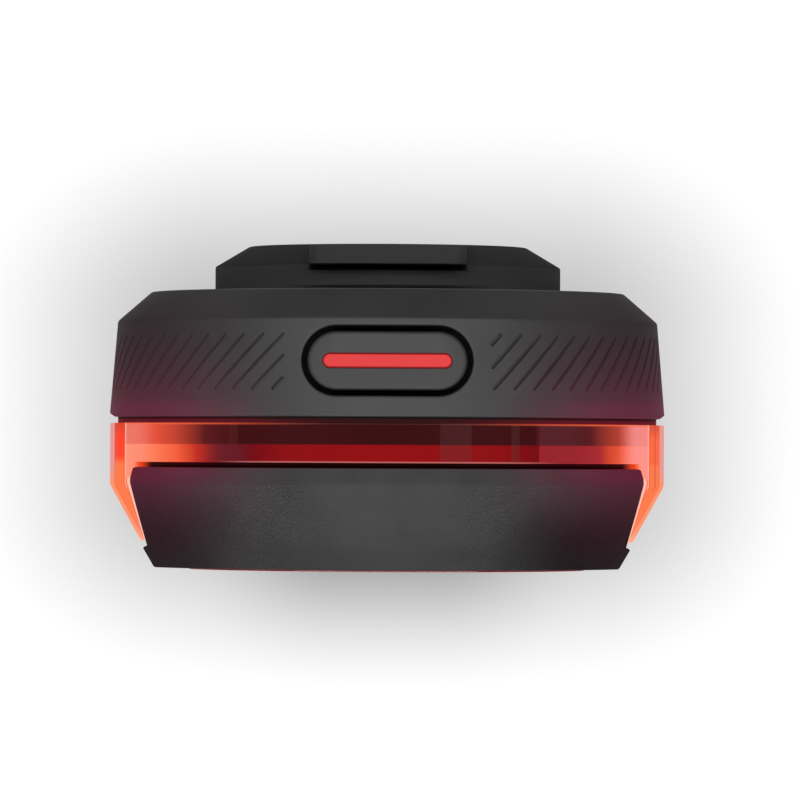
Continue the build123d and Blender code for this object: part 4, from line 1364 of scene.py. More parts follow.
@dataclass
class GripHatch:
    """Diagonal grip grooves on both sides of the button.

    Args:
        pitch: Angle from one groove to the next, in degrees, as the next two.
        start: Angle of one groove's front end from the middle.
        clear: Angle on both sides of the middle that has no grooves.
        end: Angle at which the grooves stop.
        band: Extent of the grooves along the depth.
        rear: Distance of the grooves from the housing's crease.
        width: Width of a groove at the surface.
        depth: Depth of a groove.
        floor: Half width of its floor.
        above: How far a cutter stands out of the surface.
        sides: Corners of a cutter's round ends.
    """

    pitch: float = 4.57
    start: float = 21.7
    clear: float = 21.5
    end: float = 89.0
    band: float = 3.95
    rear: float = 1.05
    width: float = 0.30
    depth: float = 0.21
    floor: float = 0.05
    above: float = 0.1
    sides: int = 16

    def strokes(self) -> list[tuple[Vector, Euler, float]]:
        """Middle, turn and half length of each groove, in metres.

        Returns:
            One entry for each groove.
        """
        front = STATIONS.crease + self.rear + self.band
        lean = math.degrees(self.band / STATIONS.skin(front - self.band / 2))
        first = math.ceil((-self.end - self.start) / self.pitch)
        last = math.floor((self.end - lean - self.start) / self.pitch)
        found = []
        for step in range(first, last + 1):
            low = self.start + step * self.pitch
            if low > -self.clear:
                begin, stop = max(0.0, (self.clear - low) / lean), 1.0
            else:
                begin, stop = 0.0, min(1.0, (-self.clear - low) / lean)
            if stop - begin > 2 * self.width / self.band:
                found.append(self._stroke(front, low + lean * begin, low + lean * stop, begin, stop))
        return found

    def _stroke(self, front: float, low: float, high: float, begin: float, stop: float) -> tuple[Vector, Euler, float]:
        """One groove between two angles, sunk a little so that its depth is even along the round end.

        Args:
            front: Depth of the grooves' front ends.
            low: Angle of its front end.
            high: Angle of its rear end.
            begin: Share of the band at which it starts, from the front.
            stop: Share of the band at which it ends.

        Returns:
            Middle, turn and half length, in metres.
        """
        s, depth = STATIONS, front - self.band * (begin + stop) / 2
        radius, turn = s.skin(depth), math.radians((low + high) / 2)
        along, across = radius * math.radians(high - low), self.band * (stop - begin)
        level = radius - along * along / (16 * radius)
        middle = Vector((level * math.sin(turn), -depth, RISE + level * math.cos(turn))) * MM
        draft = math.atan2(s.crease_inset, s.parting - s.crease)
        spin = Matrix.Rotation(turn, 3, "Y") @ Matrix.Rotation(-draft, 3, "X")
        spin = spin @ Matrix.Rotation(math.atan2(across, along), 3, "Z")
        return middle, spin.to_euler(), (math.hypot(across, along) - self.width) / 2 * MM

    def tree(self) -> NodeTree:
        """Node tree that puts a round-ended cutter on each point.

        Returns:
            The finished tree.
        """
        net = Net("grip_cutters", Mouth="Float", Floor="Float", Height="Float", Sink="Float", Sides="Int")
        given = net.given
        cone = net.add("GeometryNodeMeshCone", {"Vertices": given["Sides"], "Radius Top": given["Mouth"],
                                                "Radius Bottom": given["Floor"], "Depth": given["Height"]})
        down = net.add("ShaderNodeCombineXYZ", {"Z": given["Sink"]})
        rod = net.add("GeometryNodeTransform", {"Geometry": cone["Mesh"], "Translation": down["Vector"]})
        split = net.add("ShaderNodeSeparateXYZ", {0: net.add("GeometryNodeInputPosition")["Position"]})
        sign = net.add("ShaderNodeMath", {0: split["X"]}, operation="SIGN")
        stored = {"Geometry": rod["Geometry"], "Name": "end", "Value": sign["Value"]}
        marked = net.add("GeometryNodeStoreNamedAttribute", stored, data_type="FLOAT", domain="POINT")
        turn = net.add("GeometryNodeInputNamedAttribute", {"Name": "turn"}, data_type="FLOAT_VECTOR")
        real = net.copied(marked["Geometry"], Rotation=turn["Attribute"])
        reach = net.add("GeometryNodeInputNamedAttribute", {"Name": "reach"}, data_type="FLOAT_VECTOR")
        end = net.add("GeometryNodeInputNamedAttribute", {"Name": "end"}, data_type="FLOAT")
        move = net.add("ShaderNodeVectorMath", {0: reach["Attribute"], "Scale": end["Attribute"]}, operation="SCALE")
        long = net.add("GeometryNodeSetPosition", {"Geometry": real, "Offset": move["Vector"]})
        return net.ended(long["Geometry"])

    def cutters(self, finish: Material) -> Object:
        """Solid of all the grooves, to be cut from the housing.

        Args:
            finish: Finish of the cut faces.

        Returns:
            The cutters as one object.
        """
        strokes = self.strokes()
        points = SHAPER.points("grip_cutters", (middle for middle, _, _ in strokes))
        turns, reaches = (points.data.attributes.new(name, "FLOAT_VECTOR", "POINT") for name in ("turn", "reach"))
        for i, (_, turn, reach) in enumerate(strokes):
            turns.data[i].vector = turn
            reaches.data[i].vector = turn.to_matrix() @ Vector((reach, 0, 0))
        flare = (self.width / 2 - self.floor) / self.depth
        values = {"Finish": finish, "Floor": self.floor * MM, "Mouth": (self.width / 2 + flare * self.above) * MM,
                  "Height": (self.depth + self.above) * MM, "Sink": -self.depth * MM, "Sides": self.sides}
        return SHAPER.grown(points, self.tree(), values)


@dataclass
class RearHousing:
    """Rear shell with its button well, grip grooves and port recess.

    Args:
        hatch: Its grip grooves.
        edge: Rounding of its edges.
        bevel: Extent of the front edge's bevel along the depth.
        rim: Rounding of the well's rim.
        wall_steps: Parts that the drafted side is divided into.
    """

    hatch: GripHatch = field(default_factory=GripHatch)
    edge: float = 0.14
    bevel: float = 0.34
    rim: float = 0.16
    wall_steps: int = 14

    def shell(self) -> Object:
        """Hollow shell with rounded edges.

        Returns:
            The shell without its openings.
        """
        s, bevel = STATIONS, STATIONS.parting - self.bevel
        outside = [
            Level(s.back, 14.0), Level(s.back, s.back_radius), Level(s.crease, s.end_radius - s.crease_inset),
            Level(bevel, s.skin(bevel), s.end_radius), Level(s.parting, s.end_radius - 0.02, s.end_radius - 0.5),
            Level(s.parting, 18.0, 18.0),
        ]
        chain = eased(outside, self.edge)
        turn = next(i for i, level in enumerate(chain) if level.depth > s.crease + 0.1)
        wall = [chain[turn - 1].mixed(chain[turn], k / self.wall_steps) for k in range(1, self.wall_steps)]
        inside = [Level(s.crease + 2.4, 17.42), Level(6.5, 15.0), Level(6.5, 12.0)]
        return SHAPER.shell("housing_shell", chain[:turn] + wall + chain[turn:] + inside)

    def bosses(self) -> list[Object]:
        """Inner bosses round the button's well and the port.

        Returns:
            One solid for each boss.
        """
        low, high = 5.0, 8.8
        return [SHAPER.upright("well_boss", obround(14.35, 7.3), 44.0, 46.0),
                SHAPER.post("port_boss", obround(15.6, 9.6), low, high, (0.0, PORT_Z)),
                SHAPER.post("hinge_boss", box(10.85, 2.8), low, high, (0.0, HINGE_Z))]

    def cuts(self) -> list[Object]:
        """Openings of the button, the port and its flap, and the mount's screws.

        Returns:
            One solid for each opening.
        """
        screws = [SHAPER.post("screw_hole", obround(1.7, 1.7), 3.5, 6.1, (SCREW_X * side, 0.0)) for side in (-1, 1)]
        return [SHAPER.upright("well", obround(11.95, 4.9, 20), 45.3, 49.0),
                SHAPER.post("flap_recess", hanging(8.15, -36.9, HINGE_Z, 2.75, 8), 3.0, 5.45),
                SHAPER.post("hinge_pocket", box(8.15, 1.8), 3.0, 6.45, (0.0, HINGE_Z)),
                SHAPER.post("plug_recess", obround(12.8, 6.8), 3.5, 7.0, (0.0, PORT_Z)),
                SHAPER.post("port_hole", obround(9.14, 3.46), 6.0, 9.5, (0.0, PORT_Z)), *screws]

    def _outer_normal(self, place: Vector) -> Vector | None:
        """Normal of the drafted side or of the slope behind it, at a point in millimetres.

        Args:
            place: The point.

        Returns:
            The normal, or None off both surfaces.
        """
        s, depth, margin, inside = STATIONS, -place.y, 0.1, 16.0
        radial = Vector((place.x, 0.0, place.z - max(-RISE, min(RISE, place.z))))
        if radial.length < inside:
            return None
        if s.crease + margin < depth < s.parting - margin:
            rise = s.crease_inset / (s.parting - s.crease)
        elif s.back + margin < depth < s.crease - margin:
            rise = (s.end_radius - s.crease_inset - s.back_radius) / (s.crease - s.back)
        else:
            return None
        return (radial.normalized() + Vector((0.0, rise, 0.0))).normalized()

    def _on_well(self, middle: Vector, normals: list[Vector]) -> bool:
        """Whether an edge is the rim of the button's opening."""
        flat = min(abs(n.z) for n in normals)
        return middle.z > 46.3 and abs(middle.x) < 6.2 and abs(middle.y + BUTTON_CENTRE) < 2.6 and flat < 0.3

    def build(self, finishes: Finishes) -> list[Piece]:
        """Makes the housing.

        Args:
            finishes: Every finish, by slot name.

        Returns:
            The finished pieces.
        """
        shell = SHAPER.cut(SHAPER.joined(self.shell(), *self.bosses()), *self.cuts())
        SHAPER.soften(shell, self.rim, self._on_well)
        SHAPER.cut(shell, self.hatch.cutters(finishes["housing_black"]))
        SHAPER.finish(shell)
        SHAPER.shade_exactly(shell, self._outer_normal)
        return [Piece(shell, "housing_black", ("rear_housing",))]


@dataclass
class SideLens:
    """Red lens: a band round the body with a wing along each long side.

    Args:
        inner: Radius of the band's inside.
        gap: Gap between a wing and the cover's flank.
        edge: Rounding of the band's edges.
        steps: Segments in a quarter of a wing's outline.
    """

    inner: float = 17.0
    gap: float = 0.08
    edge: float = 0.1
    steps: int = 40

    def band(self) -> Object:
        """Ring that goes all the way round.

        Returns:
            The ring.
        """
        s = STATIONS
        corners = [Level(s.lens_rear, self.inner), Level(s.lens_rear, s.lens_outer),
                   Level(s.lens_shoulder, s.lens_outer), Level(s.lens_shoulder, self.inner)]
        return SHAPER.shell("side_lens_shell", eased(corners, self.edge, True), True)

    def _outline(self, depth: float, radius: float, trim: float, side: int) -> list[Vector]:
        """Sliver between the outer face and the flank at one depth.

        Args:
            depth: Where the outline lies.
            radius: Radius of the outer face.
            trim: Distance of the flank from the middle.
            side: 1 on the right, -1 on the left.

        Returns:
            The outline, in metres.
        """
        tip = math.acos(trim / radius)
        angles = [tip * k / self.steps for k in range(self.steps + 1)]
        upper = [(radius * math.cos(a), RISE + radius * math.sin(a)) for a in angles]
        outside = [(x, -z) for x, z in reversed(upper)] + upper
        flank = [(trim, z) for _, z in reversed(outside[1:-1])]
        return [Vector((side * x, -depth, z)) * MM for x, z in outside + flank]

    def wing(self, side: int) -> Object:
        """Wedge along one long side, in front of the band.

        Args:
            side: 1 on the right, -1 on the left.

        Returns:
            The wedge.
        """
        s = STATIONS
        bend, tip = s.lens_rear + s.lens_straight, s.lens_tip
        depths = [s.lens_shoulder - 0.4, s.cover_rear, s.cover_shoulder, bend - 0.06, bend + 0.12]
        depths += [bend + (tip - bend) * k / 6 for k in range(1, 6)] + [tip - 0.12, tip - 0.04, tip]
        rings = []
        for depth in depths:
            draw = {tip: 0.09, tip - 0.04: 0.03}.get(depth, 0.0)
            radius = s.lens_outer - s.lens_slope * max(0.0, depth - bend) - draw
            rings.append(self._outline(depth, radius, s.flank(depth, self.gap) + draw, side))
        return SHAPER.stack("lens_wing", rings)

    def build(self, finishes: Finishes) -> list[Piece]:
        """Makes the lens.

        Args:
            finishes: Every finish, by slot name.

        Returns:
            The finished pieces.
        """
        lens = self.band()
        for side in (-1, 1):
            SHAPER.joined(lens, self.wing(side))
        return [Piece(SHAPER.finish(lens, 28.0), "lens_red", ("side_lens",))]


@dataclass
class FrontCover:
    """Front cover with crowned ends, slanting flanks under a lip, and the window's opening.

    Args:
        edge: Rounding of its edges.
        corner: Radius between a flank and a round end.
        draw: How far the ends come in towards the front.
        crown: How far the ends bulge.
        crown_steps: Parts that the bulge is divided into.
        lip: How far the lip stands out beyond the flanks.
    """

    edge: float = 0.12
    corner: float = 0.25
    draw: float = 1.7
    crown: float = 0.45
    crown_steps: int = 9
    lip: float = 0.3

    def crowned(self, depth: float) -> float:
        """Radius of the crowned ends at a depth.

        Args:
            depth: Where it is measured.

        Returns:
            The radius.
        """
        s = STATIONS
        share = (depth - s.cover_shoulder) / (s.cover_front - s.cover_shoulder)
        return s.end_radius - 0.1 - self.draw * share + 4 * self.crown * share * (1 - share)

    def _on_flank(self, depth: float) -> Level:
        """Outer face at a depth between the bevel and the lip."""
        return Level(depth, self.crowned(depth), STATIONS.flank(depth), self.corner)

    def outside(self) -> list[Level]:
        """Corner levels of the outer face, from the rear edge to the window's opening.

        Returns:
            The levels, in order.
        """
        s = STATIONS
        rear, side = s.cover_rear, s.flank(s.cover_shoulder)
        bevel = [(0.0, 0.36), (0.10, 0.16), (0.30, 0.04)]
        levels = [Level(rear + d, 19.55 + 0.35 * d / (s.cover_shoulder - rear), side - draw, self.corner)
                  for d, draw in bevel]
        return [Level(rear, 17.6, 17.0), *levels, Level(s.cover_shoulder, 19.9, side, self.corner)]

    def profile(self) -> list[Level]:
        """Closed chain of levels round the cover's wall.

        Returns:
            The levels, in order.
        """
        s, first, last = STATIONS, STATIONS.cover_shoulder + 0.4, STATIONS.flank_front - 0.06
        chain = eased(self.outside() + [self._on_flank(first)], self.edge)
        chain += [self._on_flank(first + (last - first) * k / self.crown_steps) for k in range(1, self.crown_steps + 1)]
        notch = s.flank(s.flank_front)
        lip = notch + self.lip
        for depth, trim in ((s.flank_front, notch), (s.lip_rear - 0.03, lip - 0.06), (s.lip_rear + 0.07, lip)):
            chain.append(Level(depth, self.crowned(depth), trim))
        front = [Level(depth, self.crowned(depth), lip - draw)
                 for depth, draw in ((s.lip_rear + 0.22, 0.05), (s.cover_front, 0.79))]
        opening = ((s.cover_front, 15.7, 14.2), (22.45, 15.7, 14.2), (22.45, 14.4, 12.9), (21.4, 14.4, 12.9),
                   (21.4, 15.8, 15.37), (19.0, 16.9, 15.37), (s.cover_rear, 16.9, 15.37))
        front += [Level(*place, 2.0) for place in opening] + [Level(s.cover_rear, 17.6, 17.0)]
        return chain + eased(front, self.edge)[1:-1]

    def build(self, finishes: Finishes) -> list[Piece]:
        """Makes the cover."""
        cover = SHAPER.shell("front_cover_shell", self.profile(), True)
        return [Piece(SHAPER.finish(cover, 30.0), "cover_black", ("front_cover",))]


@dataclass
class FrontWindow:
    """Smoked pane, a little proud of the cover.

    Args:
        rear: Depth of its back.
        face: Depth of its front.
        radius: Radius of its ends.
        trim: Half its width.
        edge: Rounding of its edges.
    """

    rear: float = 22.45
    face: float = 23.95
    radius: float = 15.6
    trim: float = 14.1
    edge: float = 0.1

    def build(self, finishes: Finishes) -> list[Piece]:
        """Makes the pane.

        Args:
            finishes: Every finish, by slot name.

        Returns:
            The finished pieces.
        """
        middle, rim = (10.0, 9.0), (self.radius, self.trim)
        levels = [Level(depth, *size, 2.0) for depth, size in
                  ((self.rear, middle), (self.rear, rim), (self.face, rim), (self.face, middle))]
        pane = SHAPER.shell("window_pane", eased(levels, self.edge))
        return [Piece(SHAPER.finish(pane), "window_smoke", ("front_window",))]


@dataclass
class QuarterTurnMount:
    """Round hub with a coned back edge, and two tabs over an undercut.

    Args:
        radius: Radius of the hub.
        height: Height of the hub.
        chamfer_width: Width of the coned edge.
        chamfer_depth: Extent of the coned edge along the depth.
        tab_reach: Distance of the tabs' round ends from the middle.
        tab_width: Width of the tabs.
        tab_corner: Cut of the tabs' corners.
        tab_rear: Depth of the tabs' back.
        tab_front: Depth of the tabs' front.
        notch: Depth of the notch in the middle of each tab's end.
        edge: Rounding of the edges.
    """

    radius: float = 13.1
    height: float = 4.1
    chamfer_width: float = 2.6
    chamfer_depth: float = 1.55
    tab_reach: float = 15.25
    tab_width: float = 11.7
    tab_corner: float = 0.5
    tab_rear: float = 0.16
    tab_front: float = 1.62
    notch: float = 0.16
    edge: float = 0.12

    def _tab_outline(self) -> list[Point2]:
        """Front-view outline of both tabs as one bar with round, notched ends.

        Returns:
            The outline.
        """
        half, cut, steps = self.tab_width / 2, self.tab_corner, 24
        start, side = math.acos((half - cut) / self.tab_reach), math.sqrt(self.tab_reach ** 2 - half ** 2) - cut
        upper = [(half, side)]
        for k in range(steps + 1):
            angle = start + (math.pi - 2 * start) * k / steps
            x, z = self.tab_reach * math.cos(angle), self.tab_reach * math.sin(angle)
            upper.append((x, z - (self.notch if abs(x) < 1.15 else 0.0)))
        upper.append((-half, side))
        return upper + [(-x, -z) for x, z in upper]

    def build(self, finishes: Finishes) -> list[Piece]:
        """Makes the mount.

        Args:
            finishes: Every finish, by slot name.

        Returns:
            The finished pieces.
        """
        corners = ((0.0, 4.0), (0.0, self.radius - self.chamfer_width), (self.chamfer_depth, self.radius),
                   (self.height, self.radius), (self.height, 4.0))
        chain = eased([Level(*corner) for corner in corners], self.edge)
        hub = SHAPER.turned("mount_hub", [(level.depth, level.radius) for level in chain], 120)
        tabs = SHAPER.post("tabs", self._tab_outline(), self.tab_rear, self.tab_front)
        SHAPER.soften(tabs, self.edge, lambda middle, normals: True)
        SHAPER.joined(hub, tabs)
        for side in (-1, 1):
            for width, front in ((1.7, 4.6), (3.6, 1.1)):
                SHAPER.cut(hub, SHAPER.post("hole", obround(width, width), -0.5, front, (SCREW_X * side, 0.0)))
        return [Piece(SHAPER.finish(hub), "hub_black", ("quarter_turn_hub",))]


@dataclass
class PowerButton:
    """Button whose face follows the housing, with a lit bar along it.

    Args:
        length: Length of the cap.
        width: Width of the cap.
        thickness: Thickness of the cap in its middle.
        edge: Rounding of the cap's edge.
        lip: Rounding of its edge beside the bar.
        bar_length: Length of the bar.
        bar_width: Width of the bar.
        post_x: Distance of the two posts from the middle.
        steps: Segments in each round end.
    """

    length: float = 11.15
    width: float = 4.1
    thickness: float = 2.1
    edge: float = 0.24
    lip: float = 0.06
    bar_length: float = 9.05
    bar_width: float = 1.05
    post_x: float = 3.2
    steps: int = 20

    def _loop(self, length: float, width: float, drop: float) -> list[Vector]:
        """Obround line on the housing's surface, lowered a little."""
        return [Vector((x, y - BUTTON_CENTRE, STATIONS.roof(x, BUTTON_CENTRE - y) - drop)) * MM
                for x, y in obround(length, width, self.steps)]

    def _foot(self, length: float, width: float) -> list[Vector]:
        """Obround line at the height of the cap's underside."""
        low = STATIONS.top - self.thickness
        return [Vector((x, y - BUTTON_CENTRE, low)) * MM for x, y in obround(length, width, self.steps)]

    def cap(self) -> Object:
        """Moulded cap with rounded edges and the bar's slot through it.

        Returns:
            The cap without its post.
        """
        edge, lip, inward = self.edge, self.lip, 4
        rings = [self._foot(self.length, self.width)]
        for k in range(5):
            angle = math.radians(90.0 * k / 4)
            draw, drop = edge * (1 - math.cos(angle)), edge * (1 - math.sin(angle))
            rings.append(self._loop(self.length - 2 * draw, self.width - 2 * draw, drop))
        for k in range(1, inward):
            share = k / inward
            length = (self.length - 2 * edge) * (1 - share) + (self.bar_length + 2 * lip) * share
            width = (self.width - 2 * edge) * (1 - share) + (self.bar_width + 2 * lip) * share
            rings.append(self._loop(length, width, 0.0))
        for k in range(4):
            angle = math.radians(90.0 * k / 3)
            draw, drop = lip * (1 - math.sin(angle)), lip * (1 - math.cos(angle))
            rings.append(self._loop(self.bar_length + 2 * draw, self.bar_width + 2 * draw, drop))
        rings.append(self._foot(self.bar_length, self.bar_width))
        return SHAPER.stack("button_face", rings, True)

    def bar(self) -> Object:
        """Lit bar, a hair below the cap's face.

        Returns:
            The bar without its post.
        """
        length, width = self.bar_length, self.bar_width
        loops = ((length, width, 0.10), (length - 0.08, width - 0.08, 0.03), (length - 0.3, width - 0.3, 0.0),
                 (length - 0.9, 0.15, 0.0))
        return SHAPER.stack("button_bar", [self._foot(length, width)] + [self._loop(*loop) for loop in loops])

    def build(self, finishes: Finishes) -> list[Piece]:
        """Makes the cap and the bar, with their posts.

        Args:
            finishes: Every finish, by slot name.

        Returns:
            The finished pieces.
        """
        pieces = []
        for made, x, slot, node in ((self.cap(), -self.post_x, "button_black", "button_cap"),
                                    (self.bar(), self.post_x, "bar_red", "button_light_pipe")):
            SHAPER.joined(made, SHAPER.upright("post", box(1.15, 1.15), 42.6, 46.0, x))
            pieces.append(Piece(SHAPER.finish(made), slot, (node,), Body.BUTTON))
        return pieces


@dataclass
class HubScrews:
    """Two socket screws in the mount.

    Args:
        top: Depth of a screw's face.
        head: Radius of its head.
        shaft: Radius of its shaft.
        end: Depth of its end.
    """

    top: float = 0.2
    head: float = 1.7
    shaft: float = 0.85
    end: float = 6.1

    def screw(self) -> Object:
        """One screw on the origin's axis.

        Returns:
            The screw.
        """
        top, head, foot = self.top, self.head, self.top + 0.9
        profile = ((top, 0.95), (top, head - 0.28), (top + 0.07, head - 0.10), (top + 0.25, head), (foot, head),
                   (foot, self.shaft), (self.end - 0.35, self.shaft), (self.end, 0.55))
        return SHAPER.cut(SHAPER.turned("screw", profile, 48), SHAPER.post("socket", circle(0.80, 6), -0.3, top + 0.6))

    def build(self, finishes: Finishes) -> list[Piece]:
        """Makes the screws."""
        places = [Vector((side * SCREW_X, 0, 0)) for side in (-1, 1)]
        return [Copies("hub_screws", "steel", self.screw(), places, ("hub_screw_1", "hub_screw_2")).piece(finishes)]


@dataclass
class PortFlap:
    """Rubber flap over the charging port: plate with a finger scoop, ribbed plug and hinge barrel.

    Args:
        back: Depth of its outer face.
        thickness: Thickness of its plate.
        half: Half its width.
        low: Height of its lower edge.
        corner: Radius of its lower corners.
        edge: Rounding of its edges.
        hinge_depth: Depth of the hinge.
        scoop_rise: Height of the scoop above the lower edge.
    """

    back: float = 4.1
    thickness: float = 1.2
    half: float = 8.0
    low: float = -36.75
    corner: float = 2.6
    edge: float = 0.22
    hinge_depth: float = 5.2
    scoop_rise: float = 1.75

    def plate(self) -> Object:
        """Plate with softened edges.

        Returns:
            The plate.
        """
        outline = hanging(self.half, self.low, HINGE_Z, self.corner, 12)
        plate = SHAPER.post("port_flap_skin", outline, self.back, self.back + self.thickness)
        SHAPER.soften(plate, self.edge, lambda middle, normals: middle.z < HINGE_Z - 0.1)
        return plate

    def plug(self) -> Object:
        """Plug with two sealing ribs.

        Returns:
            The plug.
        """
        neck = 0.25
        profile = ((5.1, neck), (5.45, neck), (5.52, 0.0), (5.66, 0.0), (5.73, neck), (5.88, neck), (5.95, 0.0),
                   (6.09, 0.0), (6.18, neck), (6.3, 0.45))
        return SHAPER.loft("plug", [(depth, obround(12.2 - 2 * draw, 6.2 - 2 * draw)) for depth, draw in profile],
                           (0.0, PORT_Z))

    def barrel(self, radius: float, reach: float) -> Object:
        """Cylinder on the hinge's axis.

        Args:
            radius: Radius of the cylinder.
            reach: Half its length.

        Returns:
            The cylinder.
        """
        outline = circle(radius, 40)
        return SHAPER.stack("barrel", [[Vector((x, v - self.hinge_depth, u + HINGE_Z)) * MM for u, v in outline]
                                       for x in (-reach, reach)])

    def scoop(self) -> Object:
        """Cutter of the finger scoop.

        Returns:
            The cutter.
        """
        profile = ((self.back - 0.2, -0.1), (self.back, 0.0), (self.back + 0.32, 0.28))
        outlines = [(depth, obround(6.4 - 2 * draw, 1.5 - 2 * draw)) for depth, draw in profile]
        return SHAPER.loft("scoop", outlines, (0.0, self.low + self.scoop_rise))

    def build(self, finishes: Finishes) -> list[Piece]:
        """Makes the flap, and the ribs in its scoop.

        Args:
            finishes: Every finish, by slot name.

        Returns:
            The finished pieces.
        """
        flap = SHAPER.joined(self.plate(), self.plug(), self.barrel(1.1, self.half))
        SHAPER.finish(SHAPER.cut(flap, self.barrel(0.55, self.half + 1), self.scoop()))
        grip = SHAPER.loft("grip", [(self.back + d, obround(4.6 - 2 * draw, 0.34 - 2 * draw))
                                    for d, draw in ((0.02, 0.08), (0.08, 0.0), (0.4, 0.0))])
        places = [Vector((0, 0, self.low + self.scoop_rise + step * 0.42)) for step in (-1, 0, 1)]
        ribs = Copies("port_flap_ribs", "flap_rubber", grip, places, body=Body.FLAP)
        return [Piece(flap, "flap_rubber", ("usb_cover",), Body.FLAP), ribs.piece(finishes)]


@dataclass
class ChargingPort:
    """Rolled shell of the charging port, and the contacts on its tongue.

    Args:
        mouth: Depth of its mouth.
        foot: Depth of its foot.
        contacts: Number of contacts.
        pitch: Distance from one contact to the next.
    """

    mouth: float = 7.1
    foot: float = 14.6
    contacts: int = 12
    pitch: float = 0.5

    def shell(self) -> Object:
        """Shell with a rounded mouth.

        Returns:
            The shell.
        """
        mouth = self.mouth
        profile = ((self.foot, 0.0), (mouth + 0.12, 0.0), (mouth + 0.03, 0.04), (mouth, 0.13), (mouth + 0.03, 0.24),
                   (mouth + 0.12, 0.3), (self.foot, 0.3))
        outlines = [(depth, obround(8.94 - 2 * draw, 3.26 - 2 * draw, 16)) for depth, draw in profile]
        return SHAPER.loft("port_shell_rolled", outlines, (0.0, PORT_Z), True)

    def build(self, finishes: Finishes) -> list[Piece]:
        """Makes the shell and the contacts.

        Args:
            finishes: Every finish, by slot name.

        Returns:
            The finished pieces.
        """
        shell = SHAPER.finish(self.shell())
        strip = SHAPER.loft("strip", [(depth, rounded_box(half, 0.37 - lower, 0.01)) for depth, half, lower in
                                      ((7.82, 0.09, 0.03), (7.95, 0.12, 0.0), (11.0, 0.12, 0.0))])
        places = [Vector(((i - (self.contacts - 1) / 2) * self.pitch, 0, PORT_Z)) for i in range(self.contacts)]
        pins = Copies("port_contacts", "copper", strip, places)
        return [Piece(shell, "steel", ("usb_port_shell",)), pins.piece(finishes)]


@dataclass
class FrontLights:
    """Light packages of the front rows and the sides, and the front rows' collimators.

    Args:
        row_z: Height of the front rows.
        pitch: Distance from one front light to the next.
        side_x: Distance of the side lights from the middle.
        side_pitch: Distance from one side light to the next.
    """

    row_z: float = 31.0
    pitch: float = 8.2
    side_x: float = 15.15
    side_pitch: float = 12.0

    def side_places(self, offset: float) -> list[Vector]:
        """Where the side lights stand, moved outwards by an offset."""
        return [Vector((side * (self.side_x + offset), 0, (step - 1.5) * self.side_pitch))
                for side in (-1, 1) for step in range(4)]

    def _package(self, half_x: float, half_z: float) -> Object:
        """Package with soft edges on the board.

        Args:
            half_x: Half the width.
            half_z: Half the height.

        Returns:
            The package.
        """
        profile = ((0.0, 0.0), (0.72, 0.0), (0.80, 0.03), (0.82, 0.10))
        return SHAPER.loft("body", [(BOARD_FRONT + d, rounded_box(half_x - draw, half_z - draw, 0.18))
                                    for d, draw in profile])

    def _front_body(self) -> Object:
        """Square package with a round reflector cup."""
        cup = SHAPER.turned("cup", [(BOARD_FRONT + d, r) for d, r in ((0.45, 0.95), (0.9, 1.2))], 32)
        return SHAPER.cut(self._package(1.5, 1.5), cup)

    def _dome(self) -> Object:
        """Clear dome over the light's die.

        Returns:
            The dome.
        """
        angles = [math.radians(a) for a in (0, 20, 40, 60, 75, 85)]
        profile = [(BOARD_FRONT + (0.46 + 0.40 * math.sin(a)), 0.93 * math.cos(a)) for a in angles]
        return SHAPER.turned("dome", profile, 32)

    def _cup(self) -> Object:
        """Round collimator with a hollow over its light.

        Returns:
            The collimator.
        """
        rear, length = 16.62, 3.75
        outer = [(rear + length * t, 1.72 + 1.98 * t ** 0.72) for t in (0.0, 0.08, 0.2, 0.35, 0.5, 0.7, 0.85, 1.0)]
        return SHAPER.turned("cup", [(17.9, 0.35), (17.8, 0.8), (17.5, 1.15), (rear, 1.35)] + outer, 40)

    def _plate(self) -> Object:
        """Plate over one row of collimators, on two legs.

        Returns:
            The plate with its legs.
        """
        profile = ((20.3, 0.08), (20.38, 0.0), (21.2, 0.0), (21.3, 0.1))
        plate = SHAPER.loft("plate", [(depth, rounded_box(12.5 - draw, 4.3 - draw, 1.0)) for depth, draw in profile])
        for side in (-1, 1):
            SHAPER.joined(plate, SHAPER.post("leg", rounded_box(0.8, 0.8, 0.3), BOARD_FRONT, 20.6, (side * 11.7, 0.0)))
        return plate

    def build(self, finishes: Finishes) -> list[Piece]:
        """Makes the lights and the optics.

        Args:
            finishes: Every finish, by slot name.

        Returns:
            The finished pieces.
        """
        places = [Vector((i * self.pitch, 0, end * self.row_z)) for end in (-1, 1) for i in (-1, 0, 1)]
        rows = [Vector((0, 0, end * self.row_z)) for end in (-1, 1)]
        fronts = tuple(f"front_led_{row}_{i}" for row in ("lower", "upper") for i in (1, 2, 3))
        sides = tuple(f"side_led_{side}_{i}" for side in ("left", "right") for i in (1, 2, 3, 4))
        face = SHAPER.post("face", rounded_box(0.63, 1.1, 0.1), BOARD_FRONT + 0.18, BOARD_FRONT + 0.66)
        sets = (
            Copies("front_light_bodies", "plunger_white", self._front_body(), places, fronts),
            Copies("front_light_domes", "led_red", self._dome(), places),
            Copies("side_light_bodies", "plunger_white", self._package(0.6, 1.4), self.side_places(-0.05), sides),
            Copies("side_light_faces", "led_red", face, self.side_places(0.02)),
            Copies("collimators", "optic_clear", self._cup(), places),
            Copies("collimator_plates", "optic_clear", self._plate(), rows, ("front_optic_upper", "front_optic_lower")),
        )
        return [copies.piece(finishes) for copies in sets]


